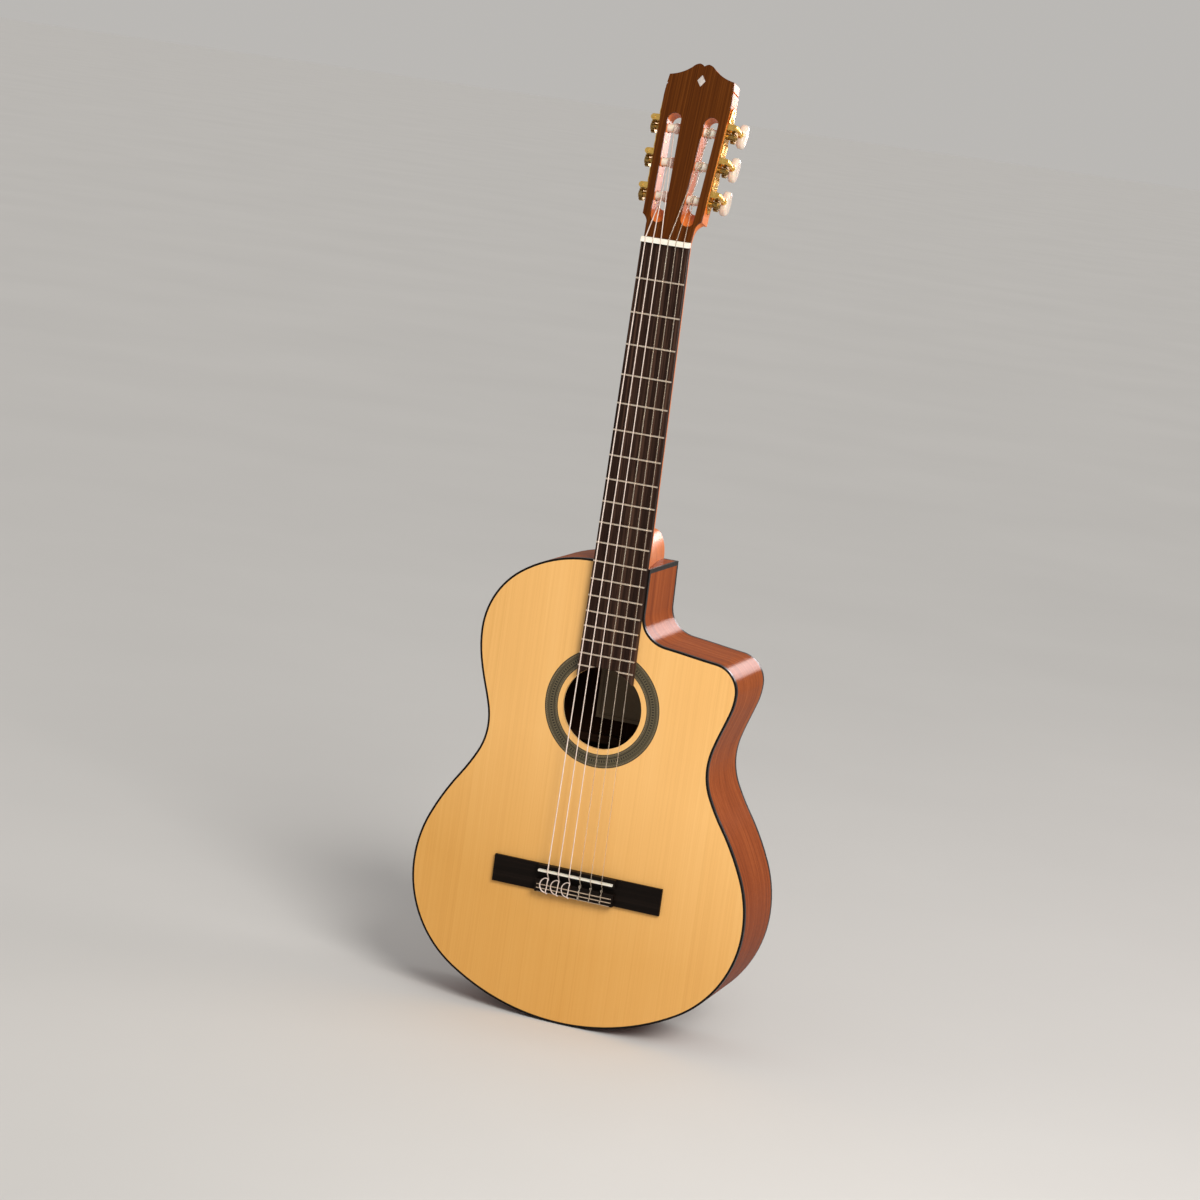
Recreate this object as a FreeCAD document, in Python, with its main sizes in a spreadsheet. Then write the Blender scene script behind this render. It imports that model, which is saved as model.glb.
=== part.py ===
import FreeCAD, Part
import math
import os
import Sketcher

# A full-size classical guitar with a cutaway, standing upright.
# +Z runs up the neck, the soundboard faces -Y, the treble side is +X.
# The origin is the lowest point of the tail, on the centre line, at half the tail depth.

V = FreeCAD.Vector
doc = FreeCAD.newDocument("classical_guitar")
sheet = doc.addObject("Spreadsheet::Sheet", "Sizes")

SIZES = [
    # strings and scale
    ("scale_length", 650), ("fret_count", 19), ("nut_height", 809),
    ("nut_spread", 20.2), ("saddle_spread", 29.5), ("nut_string_height", 8.0),
    ("saddle_string_height", 11.8),
    # body
    ("tail_depth", 98), ("shoulder_depth", 94.5), ("back_arch_radius", 4500),
    ("shoulder_height", 484), ("lower_bout", 181.5), ("lower_bout_height", 137.5),
    ("lower_flank", 143.4), ("lower_flank_height", 238.7), ("lower_flank_lean", 35),
    ("waist", 120.2), ("waist_height", 295.6), ("upper_flank", 128.5),
    ("upper_flank_height", 333), ("upper_flank_lean", 19.5), ("upper_bout", 140.5),
    ("upper_bout_height", 391.5), ("shoulder_half", 30.3),
    ("horn_side", 138.6), ("horn_side_height", 374), ("horn_tip", 113),
    ("horn_tip_height", 402.6), ("horn_slope", 5.5), ("cutaway_ledge", 58),
    ("cutaway_ledge_height", 408.9), ("cutaway_throat_height", 437),
    ("soundboard_thickness", 2.4), ("back_thickness", 2.6), ("rib_thickness", 2.2),
    ("binding_depth", 4.2), ("corner_strip_width", 4.4), ("lining_width", 5), ("lining_height", 14),
    ("tail_block_half", 38), ("tail_block_depth", 15),
    ("soundhole_radius", 42.3), ("soundhole_height", 334.6),
    ("rosette_inner", 47.8), ("rosette_outer", 61.6), ("rosette_thickness", 1.2),
    ("patch_radius", 68), ("patch_thickness", 1.6),
    ("bar_width", 8), ("bar_height", 18), ("fan_width", 4.5), ("fan_height", 4.5),
    ("fan_count", 7), ("back_bar_height", 14),
    ("label_width", 74), ("label_height", 56), ("label_drop", 29.6), ("label_thickness", 0.3),
    # bridge
    ("bridge_length", 183), ("bridge_top", 163.5), ("bridge_bottom", 135.4),
    ("wing_height", 3.4), ("block_half", 42.5), ("block_height", 9.2), ("ridge_height", 8.0),
    ("ridge_bottom", 154.2), ("tie_top", 148.6), ("channel_height", 3.2),
    ("saddle_half", 40.4), ("saddle_line", 158.25), ("saddle_thickness", 2.4),
    ("saddle_seat", 3.6), ("saddle_clearance", 0.02), ("tie_hole_radius", 1.1),
    ("tie_hole_height", 5.6), ("trim_half", 39.5), ("trim_front", 143.5), ("trim_back", 139.5),
    ("trim_width", 0.9), ("trim_thickness", 1.0),
    # neck and fingerboard
    ("board_half_at_nut", 25), ("board_half_at_body", 28.6), ("board_thickness", 6.2),
    ("fret_width", 1.9), ("fret_crown", 1.1), ("tang_width", 0.56), ("tang_depth", 2.0),
    ("fret_slot_width", 0.6), ("fret_slot_depth", 2.3),
    ("nut_thickness", 5.2), ("nut_crown", 9.6),
    ("neck_thickness_at_nut", 15.2), ("neck_thickness_at_body", 18.2), ("neck_roundness", 2.35),
    ("heel_half_at_back", 14), ("heel_reach", 29), ("heel_sweep", 26), ("heel_cap_thickness", 2.6),
    ("foot_half", 25), ("foot_height", 24), ("foot_toe", 55), ("foot_toe_thickness", 16),
    ("tenon_half", 11),
    # head
    ("head_angle", 14), ("head_offset", 2.5), ("headplate_thickness", 2.4), ("head_thickness", 21.4),
    ("head_start", 5.4), ("head_throat_half", 24.6), ("head_base", 27), ("head_base_half", 30.94),
    ("head_side_start", 29.9), ("head_side_slant", 2.2), ("head_waist", 150),
    ("head_shoulder", 172), ("head_shoulder_half", 34), ("head_peak", 186.5), ("head_notch", 184),
    ("nick_height", 162.5), ("nick_depth", 1.4), ("nick_width", 2.1),
    ("slot_width", 14.6), ("slot_wall", 8.0), ("slot_top", 134), ("slot_bottom_face", 19.5),
    ("slot_bottom_back", 38),
    # tuning machines
    ("roller_first", 49.3), ("roller_pitch", 35), ("roller_depth", 11), ("roller_radius", 5),
    ("roller_hole", 5.3), ("roller_start", 1.7), ("roller_length", 27.5),
    ("plate_thickness", 1.2), ("plate_width", 15), ("plate_bottom", 38.5), ("plate_top", 148),
    ("plate_hole", 3.05), ("post_thickness", 2.8), ("post_reach", 9.8), ("post_half", 3.1),
    ("worm_offset", 6.5), ("axial_pitch", 2.6), ("tooth_count", 14), ("worm_pitch_radius", 2.8),
    ("addendum", 0.75), ("dedendum", 0.95), ("pressure_angle", 20), ("half_tooth", 0.47),
    ("centre_gap", 0.007), ("gear_width", 4), ("worm_shaft", 1.6), ("running_gap", 0.05),
    ("collar_radius", 3.1), ("button_start", 31), ("button_height", 15.5),
    ("button_width", 25.5), ("button_thickness", 8.4), ("button_bore", 1.5), ("button_bore_depth", 9),
    ("shaft_radius", 2.5), ("bearing_radius", 3.0), ("screw_radius", 1.3), ("screw_head", 2.4),
    ("screw_length", 9),
]
for row, (alias, value) in enumerate(SIZES, 1):
    sheet.set("A%d" % row, alias)
    sheet.set("B%d" % row, str(value))
    sheet.setAlias("B%d" % row, alias)
doc.recompute()

NODES = []


def size(alias):
    return float(getattr(sheet, alias))


FRONT = -size("tail_depth") / 2
NUT = size("nut_height")
HOLE = V(0, size("soundhole_height"), 0)
TAPER = math.atan((size("tail_depth") - size("shoulder_depth")) / size("shoulder_height"))
# Diameters of the six strings, first (treble) to sixth (bass).
STRING_DIAMETERS = [0.72, 0.82, 1.02, 0.76, 0.92, 1.12]


# ---------------------------------------------------------------- helpers

def placed(x=0, y=0, z=0, axis=None, angle=0):
    rotation = FreeCAD.Rotation(axis, angle) if axis else FreeCAD.Rotation()
    return FreeCAD.Placement(V(x, y, z), rotation)


def add_body(label, placement=None):
    body = doc.addObject("PartDesign::Body", label)
    body.Label = label
    body.Placement = placement or placed(y=FRONT)
    NODES.append(body)
    return body


def add_shape(label, shape, placement=None):
    """A sub-part whose shape comes from Part functions; its sizes are read from the sheet."""
    item = doc.addObject("Part::Feature", label)
    item.Label = label
    item.Shape = shape
    if placement:
        item.Placement = placement.multiply(shape.Placement)
    NODES.append(item)
    return item


def sketch_on(body, role, name, depth=None):
    sketch = body.newObject("Sketcher::SketchObject", name)
    plane = [item for item in body.Origin.OriginFeatures if item.Role == role][0]
    sketch.AttachmentSupport = [(plane, "")]
    sketch.MapMode = "FlatFace"
    if depth is not None:
        sketch.setExpression(".AttachmentOffset.Base.z", depth)
    return sketch


def fix_point(sketch, index, end, name, across, up):
    """Hold one point of a sketch at two expressions measured from the sketch origin."""
    for kind, axis, rule in (("DistanceX", "x", across), ("DistanceY", "y", up)):
        text = str(rule)
        value = float(sketch.evalExpression(text))
        number = sketch.addConstraint(Sketcher.Constraint(kind, -1, 1, index, end, value))
        label = "%s_%s" % (name, axis)
        sketch.renameConstraint(number, label)
        if isinstance(rule, str):
            sketch.setExpression("Constraints." + label, text)


def polygon(sketch, corners):
    """A closed outline of straight lines with every corner held by expressions."""
    first = sketch.GeometryCount
    points = [V(*(float(sketch.evalExpression(str(rule))) for rule in corner), 0) for corner in corners]
    for start, end in zip(points, points[1:] + points[:1]):
        sketch.addGeometry(Part.LineSegment(start, end))
    count = len(points)
    for step in range(count):
        after = first + (step + 1) % count
        sketch.addConstraint(Sketcher.Constraint("Coincident", first + step, 2, after, 1))
    for step, corner in enumerate(corners):
        fix_point(sketch, first + step, 1, "corner%d" % (first + step), *corner)
    return sketch


def box_outline(sketch, left, right, low, high):
    return polygon(sketch, [(left, low), (right, low), (right, high), (left, high)])


def circle(sketch, across, up, radius):
    value = float(sketch.evalExpression(str(radius)))
    centre = V(float(sketch.evalExpression(str(across))), float(sketch.evalExpression(str(up))), 0)
    index = sketch.addGeometry(Part.Circle(centre, V(0, 0, 1), value))
    fix_point(sketch, index, 3, "centre%d" % index, across, up)
    number = sketch.addConstraint(Sketcher.Constraint("Radius", index, value))
    sketch.renameConstraint(number, "radius%d" % index)
    if isinstance(radius, str):
        sketch.setExpression("Constraints.radius%d" % index, radius)
    return index


def trace(sketch, wire):
    """Copy a wire of lines and arcs lying in the plane of the sketch."""
    for edge in wire.OrderedEdges:
        start, end = edge.Vertexes[0].Point, edge.Vertexes[-1].Point
        if isinstance(edge.Curve, Part.Line):
            sketch.addGeometry(Part.LineSegment(start, end))
        else:
            middle = edge.valueAt((edge.FirstParameter + edge.LastParameter) / 2)
            sketch.addGeometry(Part.Arc(start, middle, end))
    return sketch


def extrude(body, kind, sketch, length, backward=True, midplane=False):
    feature = body.newObject("PartDesign::" + kind, sketch.Name + "_" + kind.lower())
    before = body.Shape.Volume if kind == "Pocket" and not body.Shape.isNull() else None
    feature.Profile = sketch
    feature.Reversed = backward
    feature.Midplane = midplane
    if length == "through":
        feature.Type = 1
    else:
        feature.setExpression("Length", length)
    sketch.Visibility = False
    doc.recompute()
    if before is not None and body.Shape.Volume > before - 0.01:
        raise RuntimeError("%s removed nothing" % feature.Name)
    return feature


def revolve(body, sketch, axis="V_Axis"):
    feature = body.newObject("PartDesign::Revolution", sketch.Name + "_turned")
    feature.Profile = sketch
    feature.ReferenceAxis = (sketch, [axis])
    feature.Angle = 360
    sketch.Visibility = False
    doc.recompute()
    return feature


def dress(body, kind, edges, amount):
    """Fillet or chamfer the named edges of the body's tip."""
    base = body.Tip
    feature = body.newObject("PartDesign::" + kind, body.Name + "_" + kind.lower())
    feature.Base = (base, edges)
    feature.setExpression("Radius" if kind == "Fillet" else "Size", amount)
    doc.recompute()
    return feature


def edges_where(shape, test):
    return ["Edge%d" % number for number, edge in enumerate(shape.Edges, 1) if test(edge)]


def board(face, low, high):
    """Extrude a flat (x, height) face from one depth behind the soundboard to another."""
    solid = face.extrude(V(0, 0, low - high))
    solid.translate(V(0, 0, -low))
    solid.rotate(V(), V(1, 0, 0), 90)
    solid.translate(V(0, FRONT, 0))
    return solid


def block(x0, x1, depth0, depth1, z0, z1):
    return Part.makeBox(x1 - x0, depth1 - depth0, z1 - z0, V(x0, FRONT + depth0, z0))


def disc(radius, low, high, x=0, z=0):
    return Part.makeCylinder(radius, high - low, V(x, FRONT + low, z), V(0, 1, 0))


# ---------------------------------------------------------------- body outline

def blend(start, start_angle, end, end_angle):
    """Two arcs that leave and arrive along the given headings (degrees)."""
    p0, p1 = V(*start, 0), V(*end, 0)
    a0, a1 = math.radians(start_angle), math.radians(end_angle)
    t0 = V(math.cos(a0), math.sin(a0), 0)
    t1 = V(math.cos(a1), math.sin(a1), 0)
    chord = p1 - p0
    both = t0 + t1
    square = 2 * (1 - t0.dot(t1))
    if abs(square) < 1e-9:
        reach = chord.dot(chord) / (4 * chord.dot(t1))
    else:
        root = math.sqrt(chord.dot(both) ** 2 + square * chord.dot(chord))
        reach = (root - chord.dot(both)) / square
    middle = (p0 + p1 + (t0 - t1) * reach) * 0.5
    return [arc_along(p0, t0, middle), arc_along(p1, t1 * -1, middle, True)]


def arc_along(point, heading, target, flip=False):
    """The arc from a point, leaving along a heading, that ends on a target."""
    chord = target - point
    side = V(-heading.y, heading.x, 0)
    bend = 2 * chord.dot(side) / chord.dot(chord)
    if abs(bend) < 1e-5:
        edge = Part.LineSegment(target, point) if flip else Part.LineSegment(point, target)
        return edge.toShape()
    centre = point + side * (1 / bend)
    toward = (point + target) * 0.5 - centre
    if chord.dot(heading) < 0:
        toward = toward * -1
    crest = centre + toward.normalize() * abs(1 / bend)
    curve = Part.Arc(target, crest, point) if flip else Part.Arc(point, crest, target)
    return curve.toShape()


def side_nodes():
    """(half-width, height, heading) up one side of the body, from the tail."""
    return [
        (0, 0, 0),
        (size("lower_bout"), size("lower_bout_height"), 90),
        (size("lower_flank"), size("lower_flank_height"), 90 + size("lower_flank_lean")),
        (size("waist"), size("waist_height"), 90),
        (size("upper_flank"), size("upper_flank_height"), 90 - size("upper_flank_lean")),
    ]


def body_outline():
    top = size("shoulder_height")
    half = size("shoulder_half")
    tilt = size("horn_slope")
    treble = side_nodes() + [
        (size("horn_side"), size("horn_side_height"), 90),
        (size("horn_tip"), size("horn_tip_height"), 180 - tilt),
        (size("cutaway_ledge"), size("cutaway_ledge_height"), 180 - tilt),
        (half + 0.4, size("cutaway_throat_height"), 90),
        (half, top, 90),
    ]
    bass = side_nodes() + [
        (size("upper_bout"), size("upper_bout_height"), 90),
        (half, top, 180),
    ]
    edges = []
    for before, after in zip(treble, treble[1:]):
        edges += blend(before[:2], before[2], after[:2], after[2])
    edges.append(Part.LineSegment(V(half, top, 0), V(-half, top, 0)).toShape())
    mirrored = [(-x, z, 180 - heading) for x, z, heading in bass]
    for before, after in zip(mirrored[::-1], mirrored[-2::-1]):
        edges += blend(before[:2], before[2] + 180, after[:2], after[2] + 180)
    return Part.Wire(Part.__sortEdges__(edges))


OUTLINE = body_outline()


def inset(distance):
    return OUTLINE.makeOffset2D(-distance) if distance else OUTLINE


def ring_face(outer, inner):
    return Part.Face(inset(outer)).cut(Part.Face(inset(inner))).Faces[0]


def dome(layer):
    """The inside of the arched back, a given thickness in from its outer surface."""
    radius = size("back_arch_radius")
    low = V(0, FRONT + size("tail_depth"), 0)
    high = V(0, FRONT + size("shoulder_depth"), size("shoulder_height"))
    reach = math.sqrt(radius ** 2 - ((high - low).Length / 2) ** 2)
    inward = V(0, -math.cos(TAPER), -math.sin(TAPER))
    return Part.makeSphere(radius - layer, (low + high) * 0.5 + inward * reach)


OUTER_DOME = dome(0)
INNER_DOME = dome(size("back_thickness"))
RIB_DOME = dome(size("binding_depth"))
RIB = size("rib_thickness")
FAR = size("tail_depth") + 5
TENON_END = size("shoulder_depth") - size("binding_depth")
TENON = block(-size("tenon_half"), size("tenon_half"), -5, TENON_END, 470, 500)


# ---------------------------------------------------------------- soundbox

soundboard = add_body("soundboard")
sketch = sketch_on(soundboard, "XZ_Plane", "soundboard_outline")
trace(sketch, inset(RIB))
extrude(soundboard, "Pad", sketch, "Sizes.soundboard_thickness")
sketch = sketch_on(soundboard, "XZ_Plane", "soundhole")
circle(sketch, 0, "Sizes.soundhole_height", "Sizes.soundhole_radius")
extrude(soundboard, "Pocket", sketch, "through", False)
sketch = sketch_on(soundboard, "XZ_Plane", "rosette_channel")
circle(sketch, 0, "Sizes.soundhole_height", "Sizes.rosette_inner")
circle(sketch, 0, "Sizes.soundhole_height", "Sizes.rosette_outer")
extrude(soundboard, "Pocket", sketch, "Sizes.rosette_thickness", False)

rosette = add_body("rosette")
sketch = sketch_on(rosette, "XZ_Plane", "rosette_ring")
circle(sketch, 0, "Sizes.soundhole_height", "Sizes.rosette_inner")
circle(sketch, 0, "Sizes.soundhole_height", "Sizes.rosette_outer")
extrude(rosette, "Pad", sketch, "Sizes.rosette_thickness")

EDGE_RING = ring_face(0, RIB)
binding = board(EDGE_RING, 0, size("binding_depth")).cut(TENON)
add_shape("top_binding", binding)
shell = board(EDGE_RING, 50, FAR).common(OUTER_DOME).cut(RIB_DOME).cut(TENON)
add_shape("back_binding", shell)
add_shape("back", board(Part.Face(inset(RIB)), 60, FAR).common(OUTER_DOME).cut(INNER_DOME))

walls = board(EDGE_RING, size("binding_depth"), FAR).common(RIB_DOME).cut(TENON)
STRIP = size("corner_strip_width")
corner = block(size("shoulder_half") - RIB, 60, -5, FAR, size("shoulder_height") - STRIP, 490)
add_shape("corner_strip", walls.common(corner))
walls = walls.cut(corner)
add_shape("rib_bass", walls.common(block(-250, 0, -5, FAR + 5, -10, 500)))
add_shape("rib_treble", walls.common(block(0, 250, -5, FAR + 5, -10, 500)))

# Inside the box: end blocks, linings, bars and braces.
SOUND = size("soundboard_thickness")
inner_face = Part.Face(inset(RIB))
tail_block = board(inner_face, SOUND, FAR).common(INNER_DOME)
TAIL = block(-size("tail_block_half"), size("tail_block_half"), -5, FAR, -5,
             RIB + size("tail_block_depth"))
add_shape("tail_block", tail_block.common(TAIL))

FOOT_TOP = size("shoulder_height") - RIB
FOOT_HALF = size("foot_half")
foot = block(-FOOT_HALF, FOOT_HALF, SOUND, FAR, FOOT_TOP - size("foot_height"), FOOT_TOP)
toe = block(-FOOT_HALF, FOOT_HALF, size("shoulder_depth") - size("foot_toe_thickness"), FAR,
            FOOT_TOP - size("foot_toe"), FOOT_TOP)
foot = foot.fuse(toe).common(INNER_DOME)
foot_room = block(-FOOT_HALF - 0.1, FOOT_HALF + 0.1, -5, FAR, FOOT_TOP - size("foot_toe") - 0.1, 500)

LINING = RIB + size("lining_width")
lining_ring = ring_face(RIB, LINING)
front_lining = board(lining_ring, SOUND, SOUND + size("lining_height"))
back_lining = board(lining_ring, 60, FAR).common(INNER_DOME)
back_lining = back_lining.cut(dome(size("back_thickness") + size("lining_height")))
linings = [part.cut(TAIL).cut(foot_room) for part in (front_lining, back_lining)]
add_shape("linings", Part.makeCompound([s for part in linings for s in part.Solids]))

LINED = Part.Face(inset(LINING + 0.1))
patch = disc(size("patch_radius"), SOUND, SOUND + size("patch_thickness"), 0, HOLE.y)
patch = patch.cut(disc(size("soundhole_radius"), -5, 20, 0, HOLE.y))
add_shape("soundhole_patch", patch)

BAR = size("bar_width") / 2
bars = []
for height in (HOLE.y + 75, HOLE.y - 75):
    bar = block(-250, 250, SOUND, SOUND + size("bar_height"), height - BAR, height + BAR)
    bar = bar.common(board(LINED, SOUND, 60))
    bars += bar.Solids
add_shape("harmonic_bars", Part.makeCompound(bars))

fans = []
FAN = size("fan_width") / 2
count = int(size("fan_count"))
fan_top = HOLE.y - 75 - BAR - 2
for number in range(count):
    lean = (number - (count - 1) / 2) * 6.5
    start = V(math.tan(math.radians(lean)) * 60, FRONT, fan_top)
    profile = Part.makePolygon([V(-FAN, 0, 0), V(FAN, 0, 0), V(FAN * 0.7, size("fan_height"), 0),
                                V(-FAN * 0.7, size("fan_height"), 0), V(-FAN, 0, 0)])
    strut = Part.Face(profile).extrude(V(0, 0, -(fan_top - 42)))
    strut.rotate(V(), V(0, 1, 0), lean)
    strut.translate(V(start.x, FRONT + SOUND, start.z))
    fans += strut.cut(block(-250, 250, -5, 60, fan_top, 500)).common(board(LINED, SOUND, 60)).Solids
add_shape("fan_braces", Part.makeCompound(fans))

cross_bars = []
for height in (FOOT_TOP - size("foot_toe") - 28, 285, 150):
    bar = block(-250, 250, 60, FAR, height - BAR, height + BAR).common(board(LINED, 60, FAR))
    bar = bar.common(INNER_DOME).cut(dome(size("back_thickness") + size("back_bar_height")))
    cross_bars += bar.Solids
add_shape("back_braces", Part.makeCompound(cross_bars))

label = block(-size("label_width") / 2, size("label_width") / 2, 60, FAR,
              HOLE.y - size("label_drop"), HOLE.y - size("label_drop") + size("label_height"))
label = label.common(INNER_DOME).cut(dome(size("back_thickness") + size("label_thickness")))
add_shape("label", label)

# ---------------------------------------------------------------- bridge

bridge = add_body("bridge")
sketch = sketch_on(bridge, "XZ_Plane", "wings")
box_outline(sketch, "-Sizes.bridge_length/2", "Sizes.bridge_length/2", "Sizes.bridge_bottom",
            "Sizes.bridge_top")
extrude(bridge, "Pad", sketch, "Sizes.wing_height", False)
sketch = sketch_on(bridge, "XZ_Plane", "saddle_ridge")
box_outline(sketch, "-Sizes.block_half", "Sizes.block_half", "Sizes.ridge_bottom", "Sizes.bridge_top")
extrude(bridge, "Pad", sketch, "Sizes.ridge_height", False)
sketch = sketch_on(bridge, "XZ_Plane", "tie_block")
box_outline(sketch, "-Sizes.block_half", "Sizes.block_half", "Sizes.bridge_bottom", "Sizes.tie_top")
extrude(bridge, "Pad", sketch, "Sizes.block_height", False)
sketch = sketch_on(bridge, "XZ_Plane", "saddle_slot", "Sizes.saddle_seat")
box_outline(sketch, "-Sizes.saddle_half-Sizes.saddle_clearance",
            "Sizes.saddle_half+Sizes.saddle_clearance",
            "Sizes.saddle_line-Sizes.saddle_thickness/2-Sizes.saddle_clearance",
            "Sizes.saddle_line+Sizes.saddle_thickness/2+Sizes.saddle_clearance")
extrude(bridge, "Pocket", sketch, "Sizes.block_height", True)
for name, line in (("front", "trim_front"), ("back", "trim_back")):
    sketch = sketch_on(bridge, "XZ_Plane", "trim_seat_" + name, "Sizes.block_height-Sizes.trim_thickness")
    box_outline(sketch, "-Sizes.trim_half", "Sizes.trim_half",
                "Sizes.%s-Sizes.trim_width/2" % line, "Sizes.%s+Sizes.trim_width/2" % line)
    extrude(bridge, "Pocket", sketch, "Sizes.block_height", True)
sketch = sketch_on(bridge, "XY_Plane", "tie_hole", "Sizes.bridge_bottom-1")
circle(sketch, "-Sizes.saddle_spread", "-Sizes.tie_hole_height", "Sizes.tie_hole_radius")
hole = extrude(bridge, "Pocket", sketch, "Sizes.tie_top-Sizes.bridge_bottom+2", True)
pattern = bridge.newObject("PartDesign::LinearPattern", "tie_holes")
pattern.Originals = [hole]
pattern.Direction = (sketch, ["H_Axis"])
pattern.setExpression("Length", "Sizes.saddle_spread*2")
pattern.Occurrences = 6
bridge.Tip = pattern
doc.recompute()

saddle = add_body("saddle")
sketch = sketch_on(saddle, "YZ_Plane", "saddle_section")
SADDLE_LOW = "Sizes.saddle_line-Sizes.saddle_thickness/2"
SADDLE_HIGH = "Sizes.saddle_line+Sizes.saddle_thickness/2"
polygon(sketch, [("-Sizes.saddle_seat", SADDLE_LOW), ("-Sizes.saddle_seat", SADDLE_HIGH),
                 ("-Sizes.saddle_string_height", SADDLE_HIGH + "-0.4"),
                 ("-Sizes.saddle_string_height+0.5", SADDLE_LOW)])
extrude(saddle, "Pad", sketch, "Sizes.saddle_half*2", False, True)

tie_trim = []
for line in ("trim_front", "trim_back"):
    strip = block(-size("trim_half"), size("trim_half"), -size("block_height") - 0.1,
                  -size("block_height") + size("trim_thickness"),
                  size(line) - size("trim_width") / 2, size(line) + size("trim_width") / 2)
    tie_trim.append(strip)
add_shape("tie_block_trim", Part.makeCompound(tie_trim))

# ---------------------------------------------------------------- neck

SCALE = size("scale_length")
SPREAD = (size("board_half_at_body") - size("board_half_at_nut")) / (SCALE / 2)


def board_half(distance):
    """Half-width of the fingerboard at a distance from the nut."""
    return size("board_half_at_nut") + SPREAD * distance


def fret_place(number):
    return SCALE * (1 - 2 ** (-number / 12))


def section(half, depth, roundness, place):
    """Flat on the front, rounded behind: half a super-ellipse closed by a line."""
    points = []
    for step in range(13):
        angle = math.pi * step / 12
        across = math.cos(angle)
        reach = abs(across) ** (2 / roundness) * (1 if across > 0 else -1)
        if step == 6:
            reach = 0
        points.append(place(half * reach, depth * abs(math.sin(angle)) ** (2 / roundness)))
    curve = Part.BSplineCurve()
    curve.interpolate(points)
    return Part.Wire([curve.toShape(), Part.LineSegment(points[-1], points[0]).toShape()])


def neck_section(distance):
    fraction = distance / (SCALE / 2)
    depth = size("neck_thickness_at_nut") * (1 - fraction) + size("neck_thickness_at_body") * fraction
    return section(board_half(distance) - 0.15, depth, size("neck_roundness"),
                   lambda x, d: V(x, FRONT + d, NUT - distance))


HEAD = placed(0, FRONT - size("head_offset"), NUT, V(1, 0, 0), -size("head_angle"))
past_nut = -size("nut_thickness")
shaft = Part.makeLoft([neck_section(s) for s in (past_nut, 110, 220, SCALE / 2)], True, False)
head_room = Part.makeBox(120, 80, 260, V(-60, -20, size("head_start")))
head_room.Placement = HEAD
neck_shape = shaft.cut(head_room)
add_shape("neck", neck_shape)

board_end = "Sizes.soundhole_height+Sizes.soundhole_radius"
fingerboard = add_body("fingerboard")
sketch = sketch_on(fingerboard, "XZ_Plane", "board_plan")
low = "Sizes.soundhole_height"
spread = "(Sizes.board_half_at_body-Sizes.board_half_at_nut)/(Sizes.scale_length/2)"
low_half = "(Sizes.board_half_at_nut+%s*(Sizes.nut_height-%s))" % (spread, low)
polygon(sketch, [("-" + low_half, low), (low_half, low), ("Sizes.board_half_at_nut", "Sizes.nut_height"),
                 ("-Sizes.board_half_at_nut", "Sizes.nut_height")])
extrude(fingerboard, "Pad", sketch, "Sizes.board_thickness", False)
sketch = sketch_on(fingerboard, "XZ_Plane", "hollow_end")
circle(sketch, 0, "Sizes.soundhole_height", "Sizes.soundhole_radius+0.1")
extrude(fingerboard, "Pocket", sketch, "through", True)
sketch = sketch_on(fingerboard, "XZ_Plane", "fret_slots", "Sizes.board_thickness-Sizes.fret_slot_depth")
for number in range(1, int(size("fret_count")) + 1):
    middle = NUT - fret_place(number)
    thin = size("fret_slot_width") / 2
    box_outline(sketch, -40, 40, middle - thin, middle + thin)
extrude(fingerboard, "Pocket", sketch, "Sizes.board_thickness", True)

frets = []
crown = size("fret_crown")
wide = size("fret_width") / 2
tang = size("tang_width") / 2
end_hollow = disc(size("soundhole_radius") + 1.1, -20, 5, 0, HOLE.y)
for number in range(1, int(size("fret_count")) + 1):
    distance = fret_place(number)
    half = board_half(distance) - 0.1
    arc = Part.Arc(V(0, -wide, 0), V(0, 0, crown), V(0, wide, 0)).toShape()
    rail = Part.Face(Part.Wire([arc, Part.LineSegment(V(0, wide, 0), V(0, -wide, 0)).toShape()]))
    rail = rail.extrude(V(2 * half, 0, 0))
    root = Part.makeBox(2 * half, 2 * tang, size("tang_depth") + 0.3, V(0, -tang, -size("tang_depth")))
    fret = rail.fuse(root).removeSplitter()
    fret.rotate(V(), V(1, 0, 0), 90)
    fret.translate(V(-half, FRONT - size("board_thickness"), NUT - distance))
    if distance > NUT - HOLE.y - size("soundhole_radius"):
        fret = fret.cut(end_hollow)
    frets += fret.Solids
add_shape("frets", Part.makeCompound(frets))

nut = add_body("nut")
sketch = sketch_on(nut, "YZ_Plane", "nut_section")
polygon(sketch, [(0, "Sizes.nut_height"), (0, "Sizes.nut_height+Sizes.nut_thickness"),
                 ("-Sizes.nut_crown+2.2", "Sizes.nut_height+Sizes.nut_thickness"),
                 ("-Sizes.nut_crown+0.4", "Sizes.nut_height+Sizes.nut_thickness-2"),
                 ("-Sizes.nut_crown", "Sizes.nut_height")])
extrude(nut, "Pad", sketch, "Sizes.board_half_at_nut*2", False, True)
sketch = sketch_on(nut, "XY_Plane", "string_slots", "Sizes.nut_height-1")
for number, thick in enumerate(STRING_DIAMETERS):
    middle = size("nut_spread") * (1 - 2 * number / 5)
    reach = thick / 2 + 0.05
    box_outline(sketch, middle - reach, middle + reach, "-Sizes.nut_crown-1", "-Sizes.nut_string_height")
extrude(nut, "Pocket", sketch, "Sizes.nut_thickness+2", True)


# ---------------------------------------------------------------- heel

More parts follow.
